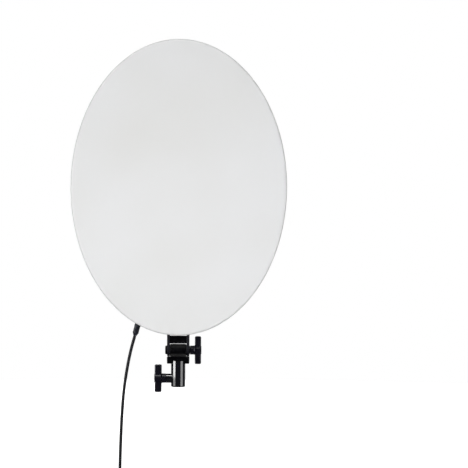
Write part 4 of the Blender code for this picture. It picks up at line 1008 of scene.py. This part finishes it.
def make_yoke():
    """The yoke: two round-ended cheeks, the web between them, and the feet inside the cover."""
    foot = [(CHEEK_R * math.cos(a), TILT_Z + CHEEK_R * math.sin(a))
            for a in (math.pi + math.pi * i / 32 for i in range(33))]
    front, back = GUSSET_Y
    outline = foot + [(CHEEK_R, CHEEK_TOP_Z), (back, CHEEK_TOP_Z), (back, GUSSET_TOP_Z),
                      (front, GUSSET_TOP_Z), (front, CHEEK_TOP_Z), (-CHEEK_R, CHEEK_TOP_Z)]
    cheeks = [across(outline, side * CHEEK_IN, side * CHEEK_OUT) for side in (-1, 1)]
    web = block((-WEB_END, -WEB_HALF_Y, WEB_Z[0]), (WEB_END, WEB_HALF_Y, WEB_Z[1]))
    steps = [("UNION", cheeks[1]), ("UNION", web)]
    for side in (-1, 1):
        near, far = sorted((side * (CHEEK_OUT - 0.001), side * FOOT_OUT))
        steps.append(("UNION", block((near, FOOT_Y[0], FOOT_Z[0]), (far, FOOT_Y[1], FOOT_Z[1]))))
        for x, z in FOOT_HOLES:
            steps.append(bored(FOOT_HOLE_R, *FOOT_HOLE_Y, BACK, (side * x, 0, z), 24))
    steps.append(bored(PIVOT_R + GAP, -0.03, 0.03, RIGHT, PIVOT))
    yoke = combine("yoke_casting", cheeks[0], *steps)
    round_edges(yoke, 0.0006, 3, 40.0)
    dress(yoke, FINISHES["cheek"], "head", ["yoke"])
    # Painted shade: the web's faces between the cheeks take the darker casting finish, as a shaded
    # copy
    yoke.data.materials.append(FINISHES["black_casting"])
    for face in yoke.data.polygons:
        if abs(face.center.x) < CHEEK_IN - GAP:
            face.material_index = 1


def make_knuckle():
    """The knuckle block: barrel, flared neck, and the shoulder with a lug each side of the tube."""
    ends = [(CHEEK_R - BARREL_EDGE, BARREL_HALF_W), (CHEEK_R, BARREL_HALF_W - BARREL_EDGE)]
    barrel = turned([(r, -x) for r, x in ends] + ends[::-1], RIGHT, PIVOT, 96)
    half = [(SHOULDER_HALF_Y, TUBE_TOP_Z), (SHOULDER_HALF_Y, NECK_FLARE_Z[0]),
            (NECK_HALF_Y, NECK_FLARE_Z[1]), (NECK_HALF_Y, TILT_Z)]
    neck = across(half + [(-y, z) for y, z in half[::-1]], -BARREL_HALF_W, BARREL_HALF_W)
    shoulder = block((-SHOULDER_HALF_W, -SHOULDER_HALF_Y, SHOULDER_Z[0]),
                     (SHOULDER_HALF_W, SHOULDER_HALF_Y, SHOULDER_Z[1]), SHOULDER_EDGE, 6)
    steps = []
    for side in (-1, 1):
        low, high = sorted((side * LUG_HALF_Y, side * 0.02))
        steps.append(("DIFFERENCE", block((-0.02, low, 0.03), (0.02, high, LUG_TOP_Z))))
    steps += [("UNION", neck), ("UNION", barrel), bored(PIVOT_R + GAP, -0.02, 0.02, RIGHT, PIVOT),
              bored(TUBE_R + GAP, SHOULDER_Z[0] - 0.002, TUBE_TOP_Z + GAP, UP, MOUTH, 96)]
    knuckle = combine("knuckle_casting", shoulder, *steps)
    round_edges(knuckle)
    dress(knuckle, FINISHES["black_casting"], "stand_adapter", ["knuckle_block"])


def make_socket():
    """The gloss black socket tube with its clamp boss."""
    profile = [(BORE_R, TUBE_TOP_Z), (TUBE_R, TUBE_TOP_Z), (TUBE_R, TUBE_EDGE + 0.0008)]
    profile += [(TUBE_R - TUBE_EDGE * x, TUBE_EDGE * z) for x, z in quarter()]
    profile += [(BORE_R + 0.0004, 0.0), (BORE_R, 0.0004)]
    tube = turned(profile, UP, MOUTH, 128, closed=True)
    boss = turned([(BOSS_R, (TUBE_R + BORE_R) / 2), (BOSS_R, BOSS_OUT - 0.0005),
                   (BOSS_R - 0.0005, BOSS_OUT)], LEFT, CLAMP, 64)
    hole = bored(SCREW_HOLE_R, 0.004, 0.03, LEFT, CLAMP)
    socket = combine("socket_tube_body", tube, ("UNION", boss), hole)
    dress(socket, FINISHES["black_gloss"], "stand_adapter", ["socket_tube"], 40.0)


def make_pivot():
    """The pivot bolt: domed head with a hexagon recess, and its end inside the handle."""
    seat = CHEEK_OUT + GAP
    side = PIVOT_HEAD_HIGH * 0.4
    dome = PIVOT_HEAD_HIGH - side
    top = seat + PIVOT_HEAD_HIGH
    head = [(PIVOT_R, -PIVOT_END), (PIVOT_R, seat), (PIVOT_HEAD_R, seat), (PIVOT_HEAD_R, seat + side)]
    head += [(PIVOT_HEAD_R - dome * r, seat + side + dome * (1 - x)) for r, x in quarter(5)[1:]]
    recess = bored(PIVOT_HEX_R, top - PIVOT_HEX_DEEP, top + 0.001, LEFT, PIVOT, 6)
    piece = combine("pivot_bolt_body", turned(head, LEFT, PIVOT, 64), recess)
    dress(piece, FINISHES["black_casting"], "head", ["pivot_bolt"])


def make_t_handle(name, node, side, z, stem_r, stem_x, bar_x, bore_r, bore_end):
    """A moulded T handle: cross bar, round stem that flares into it, and a hub a little proud."""
    near, far = sorted((side * bar_x[0], side * bar_x[1]))
    bar = block((near, -HANDLE_HALF_Y, z - HANDLE_HALF), (far, HANDLE_HALF_Y, z + HANDLE_HALF),
                HANDLE_EDGE, 4)
    proud = bar_x[1] + HUB_PROUD
    root = bar_x[0] + STEM_EDGE
    profile = [(stem_r - STEM_EDGE, stem_x), (stem_r, stem_x + STEM_EDGE)]
    profile += [(stem_r + STEM_FLARE * r, root - STEM_FLARE * x) for r, x in quarter()]
    profile += [(stem_r, root + HUB_EDGE), (stem_r, proud - HUB_EDGE), (stem_r - HUB_EDGE, proud)]
    stem = turned(profile, (side, 0, 0), (0, 0, z), 64)
    bore = bored(bore_r, stem_x - 0.001, bore_end, (side, 0, 0), (0, 0, z), 40)
    handle = combine(name, bar, ("UNION", stem), bore)
    round_edges(handle)
    dress(handle, FINISHES["handle"], node, [node])


# Plug, adapter and tie

def make_plug():
    """The DC plug: grip body with shallow ribs, and the taper where the cord leaves."""
    profile = [(PLUG_R - 0.0004, -PLUG_IN), (PLUG_R, -PLUG_IN + 0.0004), (PLUG_R, 0.0045)]
    for i in range(RIBS):
        start = PLUG_RIB_FIRST + i * RIB_PITCH
        low = PLUG_R - PLUG_RIB_DEEP
        profile += [(PLUG_R, start), (low, start + 0.0003), (low, start + 0.0009),
                    (PLUG_R, start + 0.0012)]
    profile += [(PLUG_R, PLUG_TAPER - 0.0004), (PLUG_R - 0.0003, PLUG_TAPER),
                (PLUG_TIP_R + 0.0008, PLUG_OUT - 0.0022), (PLUG_TIP_R, PLUG_OUT - 0.0008),
                (PLUG_TIP_R - 0.0003, PLUG_OUT)]
    axis = on_plug_axis(1) - on_plug_axis(0)
    body = turned(profile, axis, on_plug_axis(0), 64)
    bore = bored(PLUG_BORE_R, -PLUG_IN - 0.001, PLUG_BORE_END, axis, on_plug_axis(0))
    plug = combine("dc_plug_grip", body, bore)
    return dress(plug, FINISHES["plug"], "head", ["dc_plug"], 30.0)


def make_relief():
    """The ribbed strain relief where the cord enters the adapter."""
    profile = [(0.0030, RELIEF_LONG), (RELIEF_TIP_R, RELIEF_LONG - 0.0004)]
    for i in range(RIBS):
        far = RELIEF_LONG - 0.0012 - i * RIB_PITCH
        radius = RELIEF_TIP_R + RELIEF_GROWS * (i + 0.5) / RIBS
        low = radius - RELIEF_RIB_DEEP
        profile += [(radius, far), (low, far - 0.0003), (low, far - 0.0011),
                    (radius + 0.0001, far - 0.0014)]
    profile += [(0.0043, 0.0003), (0.0032, 0.0003), (0.0032, -0.0045)]
    body = turned(profile, RIGHT, (ADAPTER_X[1], ADAPTER_Y, COIL_HIGH_Z), 40)
    relief = new_object("adapter_relief_boot", body)
    return dress(relief, FINISHES["cord"], "stand_adapter", ["adapter_strain_relief"], 30.0)


def make_adapter():
    """The adapter's two case halves and its two flat pins."""
    made = []
    low = Vector((ADAPTER_X[0], ADAPTER_Y - ADAPTER_HALF_Y, FLOOR_Z))
    high = Vector((ADAPTER_X[1], ADAPTER_Y + ADAPTER_HALF_Y, FLOOR_Z + ADAPTER_H))
    wall = Vector((ADAPTER_WALL, ADAPTER_WALL, ADAPTER_WALL))
    over = Vector((0.01, 0.01, 0.01))
    middle = FLOOR_Z + ADAPTER_H / 2
    pins = {word: Vector((PIN_X, ADAPTER_Y + side * PIN_PITCH / 2, high.z))
            for word, side in (("left", -1), ("right", 1))}
    slot = Vector((PIN_HALF_X + GAP, PIN_HALF_Y + GAP, 0.003))
    openings = {
        "lower": [bored(CORD_HOLE_R, -0.004, 0.002, RIGHT, (high.x, ADAPTER_Y, COIL_HIGH_Z))],
        "upper": [("DIFFERENCE", block(top - slot, top + slot)) for top in pins.values()],
    }
    for half, holes in openings.items():
        inside = block(low + wall, high - wall)
        near = low - over
        far = high + over
        if half == "lower":
            far.z = middle - GAP / 2
        else:
            near.z = middle + GAP / 2
        case = combine(f"adapter_{half}_shell", block(low, high, ADAPTER_EDGE, 5),
                       ("DIFFERENCE", inside), ("INTERSECT", block(near, far)), *holes)
        round_edges(case, 0.0003)
        made.append(dress(case, FINISHES["adapter"], "stand_adapter", [f"adapter_case_{half}"]))
    for word, top in pins.items():
        pin = block(top - Vector((PIN_HALF_X, PIN_HALF_Y, PIN_ROOT)),
                    top + Vector((PIN_HALF_X, PIN_HALF_Y, PIN_LONG)), 0.0004, 2)
        hole = bored(PIN_HOLE_R, -0.003, 0.003, BACK,
                     top + Vector((0, 0, PIN_LONG - PIN_HOLE_DOWN)), 24)
        blade = combine(f"adapter_blade_{word}", pin, hole)
        made.append(dress(blade, FINISHES["steel"], "stand_adapter", [f"adapter_pin_{word}"]))
    return made


def make_tie():
    """The strap round the coil, with rounded edges."""
    near, far = TIE_SLACK
    low = Vector((COIL_X + COIL_IN_R - CORD_D / 2 - near, COIL_Y - TIE_WIDTH / 2,
                  COIL_LOW_Z - CORD_D / 2 - GAP))
    high = Vector((COIL_X + COIL_OUT_R + CORD_D / 2 + far, COIL_Y + TIE_WIDTH / 2,
                   COIL_HIGH_Z + CORD_D / 2 + GAP))
    wall = Vector((TIE_THICK, 0, TIE_THICK))
    band = block(low - wall, high + wall, 0.0005, 2)
    hole = block(low - Vector((0, 0.01, 0)), high + Vector((0, 0.01, 0)))
    tie = combine("coil_strap", band, ("DIFFERENCE", hole))
    return dress(tie, FINISHES["component"], "stand_adapter", ["cord_tie"])


# Carried-over nodes

def paint_nodes():
    """Finishes for the part's own nodes that stay as they are."""
    slots = {item["node"]: item["material_slot"] for item in frame["record"]["subparts"]}
    for name, node in frame["nodes"].items():
        node.data.materials.clear()
        node.data.materials.append(FINISHES[slots[name]])


make_camera()
make_world()
for lamp in LAMPS:
    make_lamp(*lamp)
make_floor()
paint_nodes()
plug = make_plug()
relief = make_relief()
cord_pieces = [plug, relief, make_tie(), *make_adapter()]
make_cord()
make_diffuser()
make_rear_cover()
make_badge()
make_yoke()
make_knuckle()
make_socket()
make_pivot()
make_t_handle("tilt_t_handle", "tilt_handle", side=1, z=TILT_Z, stem_r=0.0074, stem_x=0.0197,
              bar_x=(0.0273, 0.0375), bore_r=0.0051, bore_end=0.0353)
make_t_handle("clamp_t_handle", "clamp_handle", side=-1, z=CLAMP_Z, stem_r=0.0078,
              stem_x=0.01998, bar_x=(0.027, 0.0385), bore_r=SCREW_HOLE_R, bore_end=0.0355)
